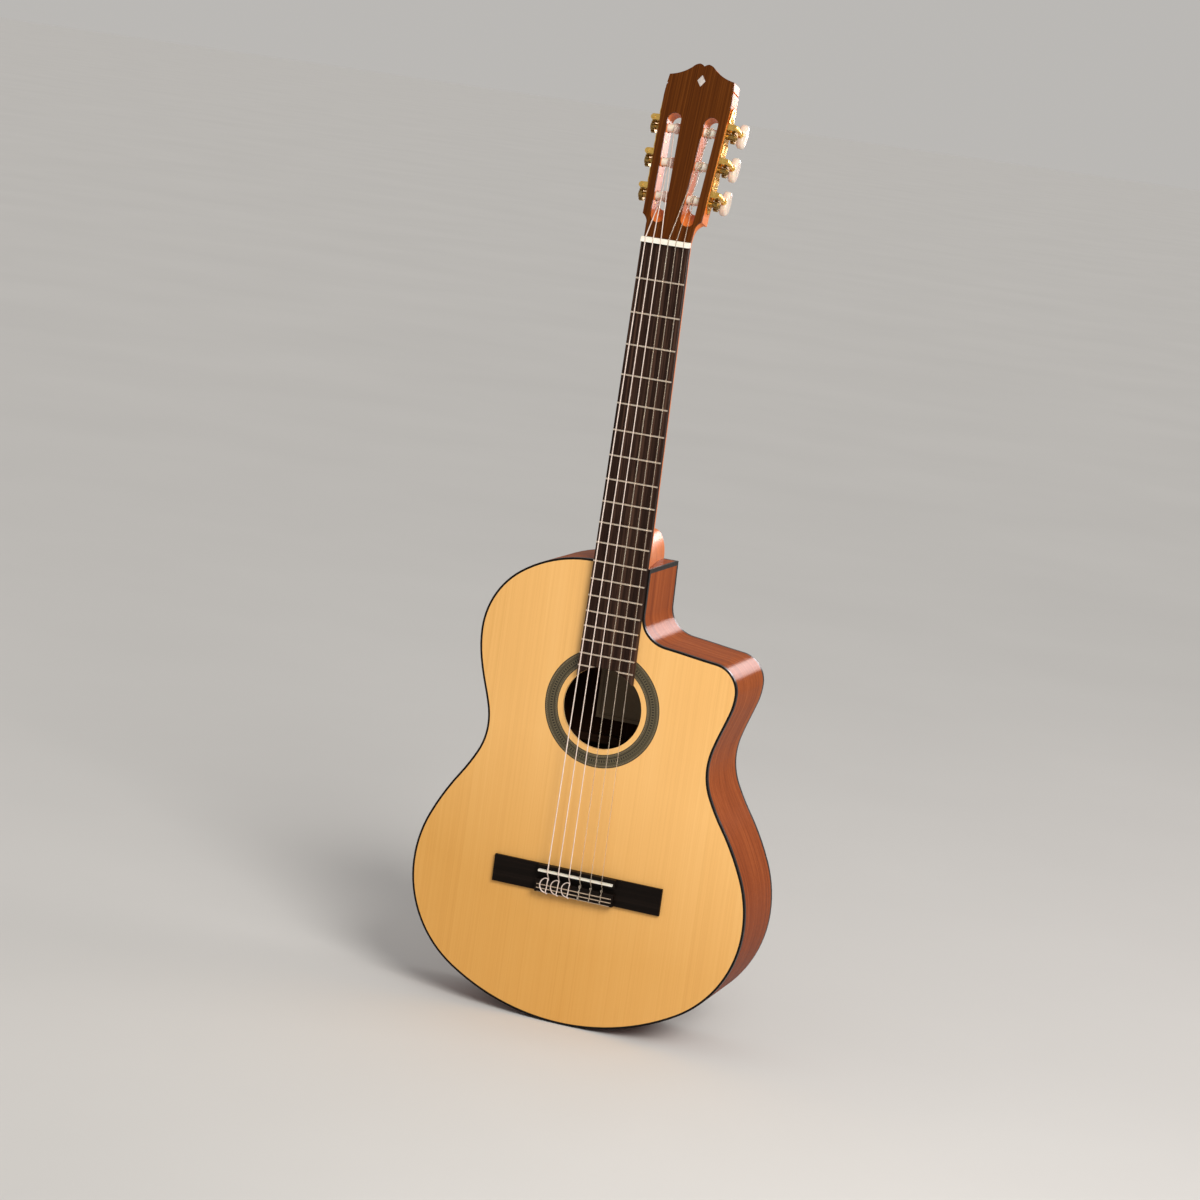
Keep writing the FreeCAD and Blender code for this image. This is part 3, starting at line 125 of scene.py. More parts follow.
class Graph:
    """A small helper for building a node material."""

    def __init__(self, name):
        self.material = bpy.data.materials.new(name)
        self.material.use_nodes = True
        self.tree = self.material.node_tree
        self.tree.nodes.clear()
        self.output = self.tree.nodes.new("ShaderNodeOutputMaterial")
        self.shader = self.tree.nodes.new("ShaderNodeBsdfPrincipled")
        self.link(self.shader.outputs[0], self.output.inputs[0])

    def link(self, source, target):
        self.tree.links.new(source, target)

    def feed(self, socket, value):
        """Links a value that comes from a node, and sets any other value on the socket."""
        if hasattr(value, "is_output"):
            self.link(value, socket)
        elif value is not None:
            socket.default_value = value

    def add(self, kind, inputs=None, **settings):
        node = self.tree.nodes.new("ShaderNode" + kind)
        for key, value in settings.items():
            setattr(node, key, value)
        for key, value in (inputs or {}).items():
            self.feed(node.inputs[key], value)
        return node

    def math(self, operation, a, b=None, c=None, clamp=False):
        node = self.add("Math", operation=operation, use_clamp=clamp)
        for index, value in enumerate((a, b, c)):
            if value is not None:
                self.feed(node.inputs[index], value)
        return node.outputs[0]

    def point(self):
        """The point on the surface, in metres of the row frame."""
        return self.add("TexCoord").outputs["Object"]

    def parts(self, vector):
        """The X, Y and Z of a vector."""
        return self.add("SeparateXYZ", {"Vector": vector}).outputs[:3]

    def vector(self, x, y, z):
        return self.add("CombineXYZ", {"X": x, "Y": y, "Z": z}).outputs[0]

    def mapped(self, vector, scale=(1, 1, 1), rotation=(0, 0, 0)):
        node = self.add("Mapping", {"Vector": vector, "Scale": scale, "Rotation": rotation})
        return node.outputs[0]

    def noise(self, vector, scale, detail, roughness=0.5, distortion=0.0):
        """Noise from 0 to 1, with its scale per metre, either one number or one for each axis."""
        if not isinstance(scale, tuple):
            scale = (scale, scale, scale)
        inputs = {"Vector": self.mapped(vector, scale), "Scale": 1.0, "Detail": detail,
                  "Roughness": roughness, "Distortion": distortion}
        return self.add("TexNoise", inputs).outputs["Fac"]

    def ramp(self, value, *stops):
        """A colour that goes through (place, colour) stops."""
        node = self.add("ValToRGB", {"Fac": value})
        elements = node.color_ramp.elements
        while len(elements) < len(stops):
            elements.new(0.5)
        for element, (spot, colour) in zip(elements, stops):
            element.position = spot
            element.color = (*colour, 1)
        return node.outputs[0]

    def cloudy(self, noise, first, second):
        """A colour that varies between two as a noise does."""
        return self.ramp(noise, (NOISE_LOW, first), (NOISE_HIGH, second))

    def mix(self, factor, a, b, blend="MIX"):
        node = self.add("Mix", data_type="RGBA", blend_type=blend)
        self.feed(node.inputs[0], factor)
        for index, value in ((6, a), (7, b)):
            if isinstance(value, tuple):
                value = (*value, 1)
            self.feed(node.inputs[index], value)
        return node.outputs[2]

    def range(self, value, low, high, to_low, to_high):
        inputs = {"Value": value, "From Min": low, "From Max": high,
                  "To Min": to_low, "To Max": to_high}
        return self.add("MapRange", inputs).outputs[0]

    def uneven(self, noise, low, high):
        """A number that varies between two as a noise does."""
        return self.range(noise, NOISE_LOW, NOISE_HIGH, low, high)

    def bump(self, height, distance, strength):
        """A normal from a height map, with the distance in millimetres."""
        inputs = {"Height": height, "Distance": distance * MM, "Strength": strength}
        return self.add("Bump", inputs).outputs[0]

    def finish(self, colour, roughness, normal, **constants):
        self.feed(self.shader.inputs["Base Color"], colour)
        self.feed(self.shader.inputs["Roughness"], roughness)
        self.feed(self.shader.inputs["Normal"], normal)
        for key, value in constants.items():
            self.shader.inputs[key.replace("_", " ")].default_value = value
        return self.material


# ---------------------------------------------------------------- wood

# Scales of the grain per metre: across it, into it and along it.
DRIFT_SCALE = (14, 14, 2.2)
FIBRE_SCALE = (2600, 2600, 26)
BROAD_SCALE = (26, 26, 3.0)
PORE_SCALE = (1900, 1900, 45)
WEAR_SCALE = (30, 30, 18)
RING_RUN = 1.6
SWIRL_REACH = 0.01

# How much each layer of the grain says in the tone, and in the height of the surface.
RING_TONE = 1.1
FIBRE_TONE = 0.55
BROAD_TONE = 1.6
FIBRE_HEIGHT = 0.6
RING_HEIGHT = 0.4
PORE_HEIGHT = 0.7
PORE_SHADE = 0.32
PORE_EDGE = (0.60, 0.68)
TONE_STOPS = (0.12, 0.5, 0.88)

# On the bent sides the grain runs with the angle about the body's middle.
BEND_RADIUS = 0.21
BEND_DEPTH = 0.02

# Painted shade: the colour darkens below the first of these heights, and most below the second.
SHADE_FROM = 0.30
SHADE_FULL = 0.08
# Tints of the painted shade, for the top and for the sides.
TOP_SHADE_TINT = (0.80, 0.72, 0.52)
SIDE_SHADE_TINT = (0.68, 0.54, 0.44)

BLACK = (0, 0, 0)
WHITE = (1, 1, 1)


def grain_axes(g, along, mirror, turn):
    """Distances across, into and along the grain, which runs along Z, along X or round the body."""
    point = g.point()
    if turn:
        point = g.mapped(point, rotation=(turn, 0, 0))
    x, y, z = g.parts(point)
    if mirror:
        x = g.math("ABSOLUTE", x)
    if along == "ROUND":
        angle = g.math("ARCTAN2", g.math("SUBTRACT", z, BODY_MIDDLE), x)
        return y, g.math("MULTIPLY", angle, BEND_DEPTH), g.math("MULTIPLY", angle, BEND_RADIUS)
    return (x, y, z) if along == "Z" else (z, y, x)


def painted_shade(g, colour, shade, lean):
    """Painted shade: colour darkened most at the foot and, with some lean, on the bass side."""
    x, y, z = g.parts(g.point())
    foot = g.range(z, SHADE_FROM, SHADE_FULL, 0, 1)
    shade_share = g.math("ADD", foot, g.math("MULTIPLY", x, -lean), clamp=True)
    return g.mix(shade_share, colour, shade, "MULTIPLY")


def wood(name, dark, mid, light, along="Z", mirror=False, turn=0.0, ring=1.6, contrast=1.0,
         streak=1.0, blotch=0.35, swirl=0.35, pores=0.0, bump=0.03, gloss=(0.3, 0.42), coat=0.2,
         shine=0.35, shade_tint=None, lean=0.0):
    """Straight-grained wood: growth lines ring millimetres apart, streaks, pores and a lacquer."""
    g = Graph(name)
    across, deep, run = grain_axes(g, along, mirror, turn)
    base = g.vector(across, deep, run)
    drift = g.noise(base, DRIFT_SCALE, 3)
    wander = g.math("MULTIPLY", g.math("SUBTRACT", drift, 0.5), swirl * SWIRL_REACH)
    fine = g.vector(g.math("ADD", across, wander), g.math("ADD", deep, wander), run)
    rate = 1 / (ring * MM)
    rings = g.noise(fine, (rate, rate / 2, RING_RUN), 2.5, 0.55)
    fibre = g.noise(fine, FIBRE_SCALE, 3, 0.6)
    broad = g.noise(base, BROAD_SCALE, 3, 0.55)
    tone = g.math("MULTIPLY_ADD", g.math("SUBTRACT", rings, 0.5), RING_TONE * contrast, 0.5)
    tone = g.math("MULTIPLY_ADD", g.math("SUBTRACT", fibre, 0.5), FIBRE_TONE * streak, tone)
    tone = g.math("MULTIPLY_ADD", g.math("SUBTRACT", broad, 0.5), BROAD_TONE * blotch, tone,
                  clamp=True)
    colour = g.ramp(tone, *zip(TONE_STOPS, (dark, mid, light)))
    height = g.math("ADD", g.math("MULTIPLY", fibre, FIBRE_HEIGHT),
                    g.math("MULTIPLY", rings, RING_HEIGHT))
    if pores:
        slots = g.noise(fine, PORE_SCALE, 2)
        holes = g.ramp(slots, *zip(PORE_EDGE, (BLACK, WHITE)))
        shaded = tuple(part * PORE_SHADE for part in dark)
        colour = g.mix(g.math("MULTIPLY", holes, pores), colour, shaded)
        height = g.math("SUBTRACT", height, g.math("MULTIPLY", holes, PORE_HEIGHT * pores))
    # Painted shade towards the foot, and with some lean towards the bass side.
    if shade_tint:
        colour = painted_shade(g, colour, shade_tint, lean)
    wear = g.noise(base, WEAR_SCALE, 5, 0.6)
    mixed = g.math("ADD", g.math("MULTIPLY", fibre, 0.5), g.math("MULTIPLY", wear, 0.5))
    return g.finish(colour, g.uneven(mixed, *gloss), g.bump(height, bump, 0.5), Coat_Weight=coat,
                    Coat_Roughness=LACQUER_ROUGHNESS, Specular_IOR_Level=shine)


# The top and the sides carry painted shade towards the foot.
SPRUCE = wood("spruce_top", (0.70, 0.375, 0.115), (0.80, 0.455, 0.155), (0.86, 0.525, 0.205),
              mirror=True, ring=1.5, contrast=0.5, streak=0.45, blotch=0.2, swirl=0.25,
              gloss=(0.34, 0.46), coat=0.08, shine=0.2, shade_tint=TOP_SHADE_TINT, lean=2.2)
RIB_WOOD = wood("mahogany_sides", (0.16, 0.030, 0.006), (0.29, 0.066, 0.014), (0.44, 0.120, 0.032),
                along="ROUND", ring=4, contrast=0.8, blotch=0.3, swirl=0.6, pores=0.2,
                gloss=(0.24, 0.34), shine=0.0, shade_tint=SIDE_SHADE_TINT)
BACK_WOOD = wood("mahogany_back", (0.13, 0.023, 0.006), (0.25, 0.054, 0.014), (0.39, 0.105, 0.032),
                 ring=5, contrast=0.9, blotch=0.5, pores=0.4, bump=0.04, gloss=(0.26, 0.38),
                 coat=0.25, shine=0.1)
NECK_WOOD = wood("neck_mahogany", (0.46, 0.105, 0.018), (0.70, 0.180, 0.034), (0.82, 0.260, 0.060),
                 ring=4, contrast=0.6, pores=0.3, bump=0.04, gloss=(0.32, 0.44), coat=0.12,
                 shine=0.1)
VENEER = wood("head_veneer", (0.040, 0.009, 0.0010), (0.080, 0.020, 0.0020),
              (0.140, 0.041, 0.0060), turn=HEAD_ANGLE, ring=1.2, blotch=0.2, swirl=0.04, pores=0.2,
              gloss=(0.34, 0.46), coat=0.05, shine=0.05)
ROSEWOOD = wood("fingerboard_rosewood", (0.009, 0.005, 0.004), (0.027, 0.014, 0.010),
                (0.095, 0.050, 0.034), ring=3.0, contrast=1.3, swirl=0.15, pores=0.8, bump=0.05,
                gloss=(0.40, 0.55), coat=0.0, shine=0.04)
EBONY = wood("bridge_black", (0.003, 0.002, 0.0015), (0.006, 0.004, 0.003), (0.014, 0.009, 0.007),
             along="X", ring=3, contrast=0.8, pores=0.3, gloss=(0.4, 0.52), coat=0.0, shine=0.06)
BRACE_SPRUCE = ((0.55, 0.33, 0.14), (0.66, 0.44, 0.21), (0.74, 0.53, 0.28))
BRACE_WOOD = wood("brace_spruce", *BRACE_SPRUCE, along="X", ring=1.4, contrast=0.7,
                  gloss=(0.6, 0.75), coat=0.0)
FAN_WOOD = wood("fan_spruce", *BRACE_SPRUCE, ring=1.4, contrast=0.7, gloss=(0.6, 0.75), coat=0.0)
# Back braces, painted near black as the shade inside the body.
SHADED_BRACE = wood("back_brace_shaded", (0.020, 0.009, 0.005), (0.036, 0.016, 0.009),
                  (0.060, 0.028, 0.015), along="X", ring=2.5, contrast=0.8, gloss=(0.6, 0.75),
                  coat=0.0, shine=0.1)
# Bare wood of the inside of the back, painted far darker as the shade inside the body.
SHADED_INNER_BACK = wood("bare_back_shaded", (0.018, 0.008, 0.004), (0.034, 0.014, 0.007), (0.056, 0.025, 0.013),
                  ring=5, contrast=0.9, pores=0.4, gloss=(0.6, 0.75), coat=0.0, shine=0.0)

# ---------------------------------------------------------------- bone, metal and plastic

# Scratches are finer than the clouds across a piece, and longer up it.
SCRATCH_ACROSS = 5
SCRATCH_UP = 0.6


def varied(name, colour, other, scale, rough, metallic=0.0, bump=0.02, **constants):
    """A plain hard surface with cloudy colour, fine scratches and uneven gloss."""
    g = Graph(name)
    point = g.point()
    cloud = g.noise(point, scale, 5, 0.6)
    fine = scale * SCRATCH_ACROSS
    scratch = g.noise(point, (fine, fine, scale * SCRATCH_UP), 4, 0.65)
    normal = g.bump(g.math("ADD", cloud, scratch), bump, 0.4)
    return g.finish(g.cloudy(cloud, colour, other), g.uneven(scratch, *rough), normal,
                    Metallic=metallic, **constants)


BRIGHT_GOLD = ((0.80, 0.46, 0.09), (0.96, 0.64, 0.19))
BLACK_EDGE = varied("black_binding", (0.005, 0.004, 0.004), (0.011, 0.009, 0.008), 60, (0.26, 0.38),
                    Specular_IOR_Level=0.08)
BONE = varied("bone", (0.80, 0.72, 0.60), (0.90, 0.84, 0.74), 180, (0.25, 0.4), Coat_Weight=0.2,
              Subsurface_Weight=0.1)
INLAY_LINE = varied("pale_line", (0.36, 0.26, 0.18), (0.52, 0.40, 0.29), 300, (0.4, 0.5))
GOLD = varied("gold_plate", *BRIGHT_GOLD, 240, (0.14, 0.3), metallic=1.0, bump=0.03)
# Brass gears, painted much darker than the gold as shade.
SHADED_GEAR = varied("gear_brass_shaded", (0.14, 0.075, 0.022), (0.62, 0.40, 0.13), 620, (0.2, 0.4),
                    metallic=1.0, bump=0.03)
INLAY = varied("inlay_pearl", (0.36, 0.32, 0.30), (0.56, 0.51, 0.48), 420, (0.2, 0.34),
               Coat_Weight=0.2)
FRET_METAL = varied("fret_metal", (0.90, 0.74, 0.58), (0.98, 0.86, 0.72), 400, (0.22, 0.34),
                    metallic=1.0)
NYLON = varied("roller_nylon", (0.74, 0.68, 0.56), (0.86, 0.81, 0.71), 200, (0.3, 0.45),
               Subsurface_Weight=0.15)


def pearl():
    """Pearly plastic with soft swirls."""
    g = Graph("pearl_button")
    point = g.point()
    swirl = g.noise(point, 70, 4, 0.55, 1.6)
    layers = g.noise(point, (220, 220, 60), 3, 0.5, 0.8)
    colour = g.ramp(swirl, (0.25, (0.52, 0.39, 0.32)), (0.5, (0.72, 0.58, 0.48)),
                    (0.75, (0.61, 0.48, 0.40)))
    colour = g.mix(g.math("MULTIPLY", layers, 0.3), colour, (0.78, 0.68, 0.59))
    return g.finish(colour, g.uneven(layers, 0.12, 0.26), g.bump(layers, 0.02, 0.3),
                    Coat_Weight=0.5, Coat_Roughness=0.06, Subsurface_Weight=0.12)


# The engraved lattice of a tuner plate, in millimetres, with the gold bars' share of its pitch,
# and the heights between which the plain gold of the posts begins.
LATTICE_PITCH = 3.6
LATTICE_SHARE = 0.36
LATTICE_BORDER = 1.3
RAISED_FROM = 0.1
RAISED_FULL = 0.5


def plate_material(side):
    """A tuner plate: a gold lattice over near-black ground, painted as the shade in the gaps of
    openwork, and bright gold posts that stand on it.
    """
    g = Graph("lattice_plate_shaded_treble" if side > 0 else "lattice_plate_shaded_bass")
    point = g.point()
    place = side_frame(side)

    def reach(direction):
        """Distance in millimetres from the plate's frame, along one of its own directions."""
        heading = place.to_3x3() @ Vector(direction)
        node = g.add("VectorMath", {0: point, 1: heading}, operation="DOT_PRODUCT")
        start = heading.dot(place.translation)
        return g.math("MULTIPLY", g.math("SUBTRACT", node.outputs["Value"], start), 1 / MM)

    raised = g.range(reach((1, 0, 0)), RAISED_FROM, RAISED_FULL, 0, 1)
    cloud = g.noise(point, 400, 4, 0.6)
    # Near-black ground: painted shade for the gaps of openwork.
    dark = g.cloudy(cloud, (0.020, 0.011, 0.004), (0.060, 0.034, 0.010))
    gold = g.cloudy(cloud, *BRIGHT_GOLD)
    # Two sets of slanted gold bars with gaps of painted shade, inside a plain gold border.
    depth = reach((0, 1, 0))
    along = reach((0, 0, 1))
    bars = []
    for slope in (1, -1):
        wave = g.math("ADD", g.math("MULTIPLY", along, 1 / LATTICE_PITCH),
                      g.math("MULTIPLY", depth, slope / LATTICE_PITCH))
        bars.append(g.math("LESS_THAN", g.math("FRACT", wave), LATTICE_SHARE))
    border = g.math("GREATER_THAN", g.math("ABSOLUTE", depth), PLATE_HALF - LATTICE_BORDER)
    lattice = g.math("MAXIMUM", g.math("MAXIMUM", bars[0], bars[1]), border)
    colour = g.mix(g.math("MAXIMUM", raised, lattice), dark, gold)
    return g.finish(colour, g.uneven(cloud, 0.2, 0.36), g.bump(cloud, 0.03, 0.4), Metallic=1.0)


# ---------------------------------------------------------------- rosette, strings and inside

# The rings of the rosette: inner and outer radius in millimetres, and how often a pattern repeats.
ROSETTE_CHECKS = ((48.5, 49.3, 150, 0.0), (49.3, 50.1, 150, 0.5), (59.0, 59.8, 190, 0.0),
                  (59.8, 60.6, 190, 0.5))
ROSETTE_OLIVE = ((50.7, 51.2), (52.2, 52.7), (53.0, 56.4), (56.7, 57.1), (57.8, 58.3))
ROSETTE_BLACK = ((47.8, 48.3), (51.3, 52.1), (57.2, 57.7), (61.0, 61.6))
ROSETTE_DASHES = (53.5, 55.9, 126)
DEEP_BLACK = (0.008, 0.006, 0.005)
OLIVE = (0.105, 0.084, 0.045)
PALE_OLIVE = (0.19, 0.15, 0.085)


def rosette_material():
    """Concentric inlaid rings around the soundhole: dark ground, fine checks and a row of dashes."""
    g = Graph("rosette_mosaic")
    point = g.point()
    x, y, z = g.parts(point)
    up = g.math("SUBTRACT", z, HOLE_Z)
    square = g.math("ADD", g.math("MULTIPLY", x, x), g.math("MULTIPLY", up, up))
    radius = g.math("MULTIPLY", g.math("SQRT", square), 1 / MM)
    angle = g.math("ARCTAN2", up, x)

    def band(low, high):
        """1 between two radii, and 0 elsewhere."""
        above = g.math("GREATER_THAN", radius, low)
        return g.math("MULTIPLY", above, g.math("LESS_THAN", radius, high))

    def ticks(count, offset=0.0):
        """1 and 0 by turns, so many times round the hole."""
        turns = g.math("MULTIPLY_ADD", angle, count / (2 * math.pi), offset)
        return g.math("LESS_THAN", g.math("FRACT", turns), 0.5)

    grain = g.noise(point, 900, 3, 0.6)
    colour = g.cloudy(grain, (0.035, 0.027, 0.014), (0.070, 0.055, 0.029))
    for low, high, count, offset in ROSETTE_CHECKS:
        check = g.math("MULTIPLY", band(low, high), ticks(count, offset))
        colour = g.mix(check, colour, PALE_OLIVE)
    for low, high in ROSETTE_OLIVE:
        colour = g.mix(band(low, high), colour, OLIVE)
    low, high, count = ROSETTE_DASHES
    colour = g.mix(g.math("MULTIPLY", band(low, high), ticks(count)), colour, DEEP_BLACK)
    for low, high in ROSETTE_BLACK:
        colour = g.mix(band(low, high), colour, DEEP_BLACK)
    return g.finish(colour, g.uneven(grain, 0.34, 0.46), g.bump(grain, 0.02, 0.3), Coat_Weight=0.1,
                    Coat_Roughness=LACQUER_ROUGHNESS, Specular_IOR_Level=0.3)


def wound_string():
    """Silver-plated wire wound on the three bass strings."""
    g = Graph("wound_string")
    point = g.point()
    x, y, z = g.parts(point)
    wave = g.math("SINE", g.math("MULTIPLY", z, 2 * math.pi / (WIRE_PITCH * MM)))
    tarnish = g.noise(point, (80, 80, 40), 4, 0.6)
    colour = g.cloudy(tarnish, (0.84, 0.68, 0.60), (0.95, 0.82, 0.75))
    # Painted shade in the grooves between the wire's turns.
    colour = g.mix(g.range(wave, -1, 1, 0.3, 0.0), colour, (0.42, 0.33, 0.28))
    return g.finish(colour, g.uneven(tarnish, 0.3, 0.42), g.bump(wave, 0.06, 0.7), Metallic=0.35)


def clear_string():
    """Clear nylon of the three treble strings."""
    g = Graph("clear_nylon")
    haze = g.noise(g.point(), (120, 120, 30), 3)
    colour = g.cloudy(haze, (0.80, 0.66, 0.52), (0.90, 0.80, 0.68))
    return g.finish(colour, g.uneven(haze, 0.10, 0.2), g.bump(haze, 0.01, 0.3),
                    Transmission_Weight=0.75, IOR=1.45)


# The two ruled frames on the label, in millimetres: how far in, and half the width of the line.
LABEL_FRAMES = ((4.0, 0.3), (5.5, 0.15))


def label_paper():
    """A blank paper label with two ruled frames and no lettering."""
    g = Graph("label_paper")
    point = g.point()
    x, y, z = g.parts(point)
    fibre = g.noise(point, 500, 5, 0.65)
    # Warm paper, painted much darker than its own tone as shade inside the body.
    colour = g.cloudy(fibre, (0.30, 0.215, 0.130), (0.37, 0.270, 0.170))
    centre = middle("label")
    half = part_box("label")[1] - centre
    across = g.math("ABSOLUTE", g.math("SUBTRACT", x, centre.x))
    upright = g.math("ABSOLUTE", g.math("SUBTRACT", z, centre.z))
    for margin, half_width in LABEL_FRAMES:
        edge = g.math("MAXIMUM", g.math("SUBTRACT", across, half.x - margin * MM),
                      g.math("SUBTRACT", upright, half.z - margin * MM))
        line = g.math("LESS_THAN", g.math("ABSOLUTE", edge), half_width * MM)
        colour = g.mix(line, colour, (0.16, 0.11, 0.07))
    return g.finish(colour, g.uneven(fibre, 0.75, 0.9), g.bump(fibre, 0.03, 0.4))


# Saw cuts in the lining: how many to a radian round the body, and their share of its length.
KERF_RATE = 26.0
KERF_SHARE = 0.13


def lining_material():
    """Kerfed lining, with a saw cut every few millimetres, painted dark as the shade in each cut."""
    g = Graph("kerfed_lining")
    point = g.point()
    x, y, z = g.parts(point)
    fibre = g.noise(point, (900, 900, 200), 4, 0.6)
    colour = g.cloudy(fibre, (0.42, 0.24, 0.11), (0.56, 0.35, 0.18))
    angle = g.math("ARCTAN2", g.math("SUBTRACT", z, BODY_MIDDLE), x)
    cut = g.math("LESS_THAN", g.math("FRACT", g.math("MULTIPLY", angle, KERF_RATE)), KERF_SHARE)
    # Painted shade in each saw cut.
    colour = g.mix(cut, colour, (0.06, 0.03, 0.015))
    return g.finish(colour, g.uneven(fibre, 0.6, 0.8),
                    g.bump(g.math("SUBTRACT", fibre, cut), 0.4, 0.6))


# ---------------------------------------------------------------- finishes of the CAD pieces

MATERIALS = {
    "soundboard": SPRUCE, "rosette": rosette_material(), "label": label_paper(),
    "rib_bass": RIB_WOOD, "rib_treble": RIB_WOOD, "back": BACK_WOOD,
    "top_binding": BLACK_EDGE, "back_binding": BLACK_EDGE, "corner_strip": BLACK_EDGE,
    "linings": lining_material(), "tail_block": NECK_WOOD, "fan_braces": FAN_WOOD,
    "harmonic_bars": BRACE_WOOD, "soundhole_patch": BRACE_WOOD, "back_braces": SHADED_BRACE,
    "bridge": EBONY, "saddle": BONE, "tie_block_trim": INLAY_LINE,
    "neck": NECK_WOOD, "heel": NECK_WOOD, "heel_cap": NECK_WOOD, "headstock": NECK_WOOD,
    "headplate": VENEER, "head_inlay": INLAY, "nut": BONE,
    "fingerboard": ROSEWOOD, "frets": FRET_METAL, "plate_screws": GOLD,
    "tuner_plate_bass": plate_material(-1), "tuner_plate_treble": plate_material(1),
}
WOUND = wound_string()
CLEAR = clear_string()
PEARL = pearl()
for number in STRING_NUMBERS:
    MATERIALS["string_%d" % number] = WOUND if number in WOUND_STRINGS else CLEAR
    MATERIALS["gear_%d" % number] = SHADED_GEAR
    MATERIALS["roller_%d" % number] = NYLON
    MATERIALS["worm_%d" % number] = GOLD
    MATERIALS["button_%d" % number] = PEARL

for name, node in NODES.items():
    node.data.materials.clear()
    node.data.materials.append(MATERIALS[name])

# The inside of the back is bare wood, painted much darker as shade inside the body: its faces turn
# forward, towards the soundboard.
INWARD = -0.6
back = NODES["back"].data
back.materials.append(SHADED_INNER_BACK)
for polygon in back.polygons:
    if polygon.normal.y < INWARD:
        polygon.material_index = 1

# The CAD pieces whose edges are eased, and by how many millimetres.
EASED_EDGES = {"bridge": 0.5, "saddle": 0.5, "nut": 0.35, "headstock": 0.7, "headplate": 0.35,
               "tuner_plate_bass": 0.2, "tuner_plate_treble": 0.2}


def soften(name, width):
    """Rounds the sharp edges of a CAD piece as sanding does, with a modifier."""
    modifier = NODES[name].modifiers.new("eased_edges", "BEVEL")
    modifier.width = width * MM
    modifier.segments = 2
    modifier.limit_method = "ANGLE"
    modifier.angle_limit = math.radians(40)
    modifier.harden_normals = True


for name, width in EASED_EDGES.items():
    soften(name, width)


# ---------------------------------------------------------------- mesh helpers

def mesh_piece(name, points, faces, materials, smooth=True, body="guitar"):
    mesh = bpy.data.meshes.new(name)
    mesh.from_pydata([tuple(point) for point in points], [], faces)
    for material in materials:
        mesh.materials.append(material)
    mesh.validate()
    if smooth:
        mesh.shade_smooth()
    piece = bpy.data.objects.new(name, mesh)
    SCENE.collection.objects.link(piece)
    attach(piece, body)
    return piece


def rounded(points, reach):
    """The same path with each corner turned into a short curve that starts reach before it."""
    steps = 6
    most = 0.45
    path = [points[0]]
    for before, corner, after in zip(points, points[1:], points[2:]):
        cut_in = min(reach, (corner - before).length * most)
        cut_out = min(reach, (after - corner).length * most)
        start = corner + (before - corner).normalized() * cut_in
        end = corner + (after - corner).normalized() * cut_out
        for step in range(steps + 1):
            t = step / steps
            path.append(start * (1 - t) ** 2 + corner * 2 * t * (1 - t) + end * t ** 2)
    path.append(points[-1])
    return path


def ring_faces(rings, sides):
    """Faces between rings of vertices, and a cap at each end."""
    last = (rings - 1) * sides
    faces = []
    for low in range(0, last, sides):
        for step in range(sides):
            after = (step + 1) % sides
            faces.append((low + step, low + after, low + sides + after, low + sides + step))
    faces.append(tuple(range(sides))[::-1])
    faces.append(tuple(range(last, last + sides)))
    return faces


def tube(path, radius, sides):
    """Vertices and faces of a round tube along a path, closed at both ends."""
    points = []
    side = None
    for index, point in enumerate(path):
        before = path[max(index - 1, 0)]
        after = path[min(index + 1, len(path) - 1)]
        tangent = (after - before).normalized()
        if side is None:
            side = tangent.orthogonal().normalized()
        side = (side - tangent * side.dot(tangent)).normalized()
        other = tangent.cross(side)
        for step in range(sides):
            angle = 2 * math.pi * step / sides
            points.append(point + (side * math.cos(angle) + other * math.sin(angle)) * radius)
    return points, ring_faces(len(path), sides)


def lathe(profile, place, sides):
    """A turned shape about the X axis of a frame, from (x, radius) pairs in millimetres."""
    points = []
    for across, radius in profile:
        for step in range(sides):
            angle = 2 * math.pi * step / sides
            spot = Vector((across, radius * math.cos(angle), radius * math.sin(angle)))
            points.append(place @ (spot * MM))
    return points, ring_faces(len(profile), sides)


def joined(shapes):
    """One list of vertices and faces from several."""
    points, faces = [], []
    for shape_points, shape_faces in shapes:
        start = len(points)
        points += shape_points
        faces += [tuple(start + index for index in face) for face in shape_faces]
    return points, faces


# ---------------------------------------------------------------- strings

# Gaps that keep a string clear of what it runs over, and the bend at its corners, in millimetres.
LOOP_GAP = 0.12
TWIST_GAP = 0.1
SADDLE_GAP = 0.08
NUT_GAP = 0.03
ROLLER_GAP = 0.03
EDGE_MARGIN = 0.2
STRING_BEND = 1.4

# The twisted tail of a nylon string: its rise and length in millimetres, its turns, and how much
# narrower than a round coil it is across and in depth.
TWIST_START = 1.6
TWIST_LENGTH = TIE_TOP_RISE - 1.0
TWIST_TURNS = 2
TWIST_STEPS = 12
TWIST_ACROSS = 0.55
TWIST_DEEP = 0.4

# How every string goes into the tie block, from its lower edge.
TIE_ENTRY = [(0, TIE_BLOCK_DEPTH - 1.2, -0.8), (0, TIE_HOLE_DEPTH, -0.7)]


def bridge_point(across, depth, rise):
    """A point in millimetres across, in front of the soundboard and up from the bridge's edge."""
    return Vector((across * MM, FRONT - depth * MM, BRIDGE_BOTTOM + rise * MM))


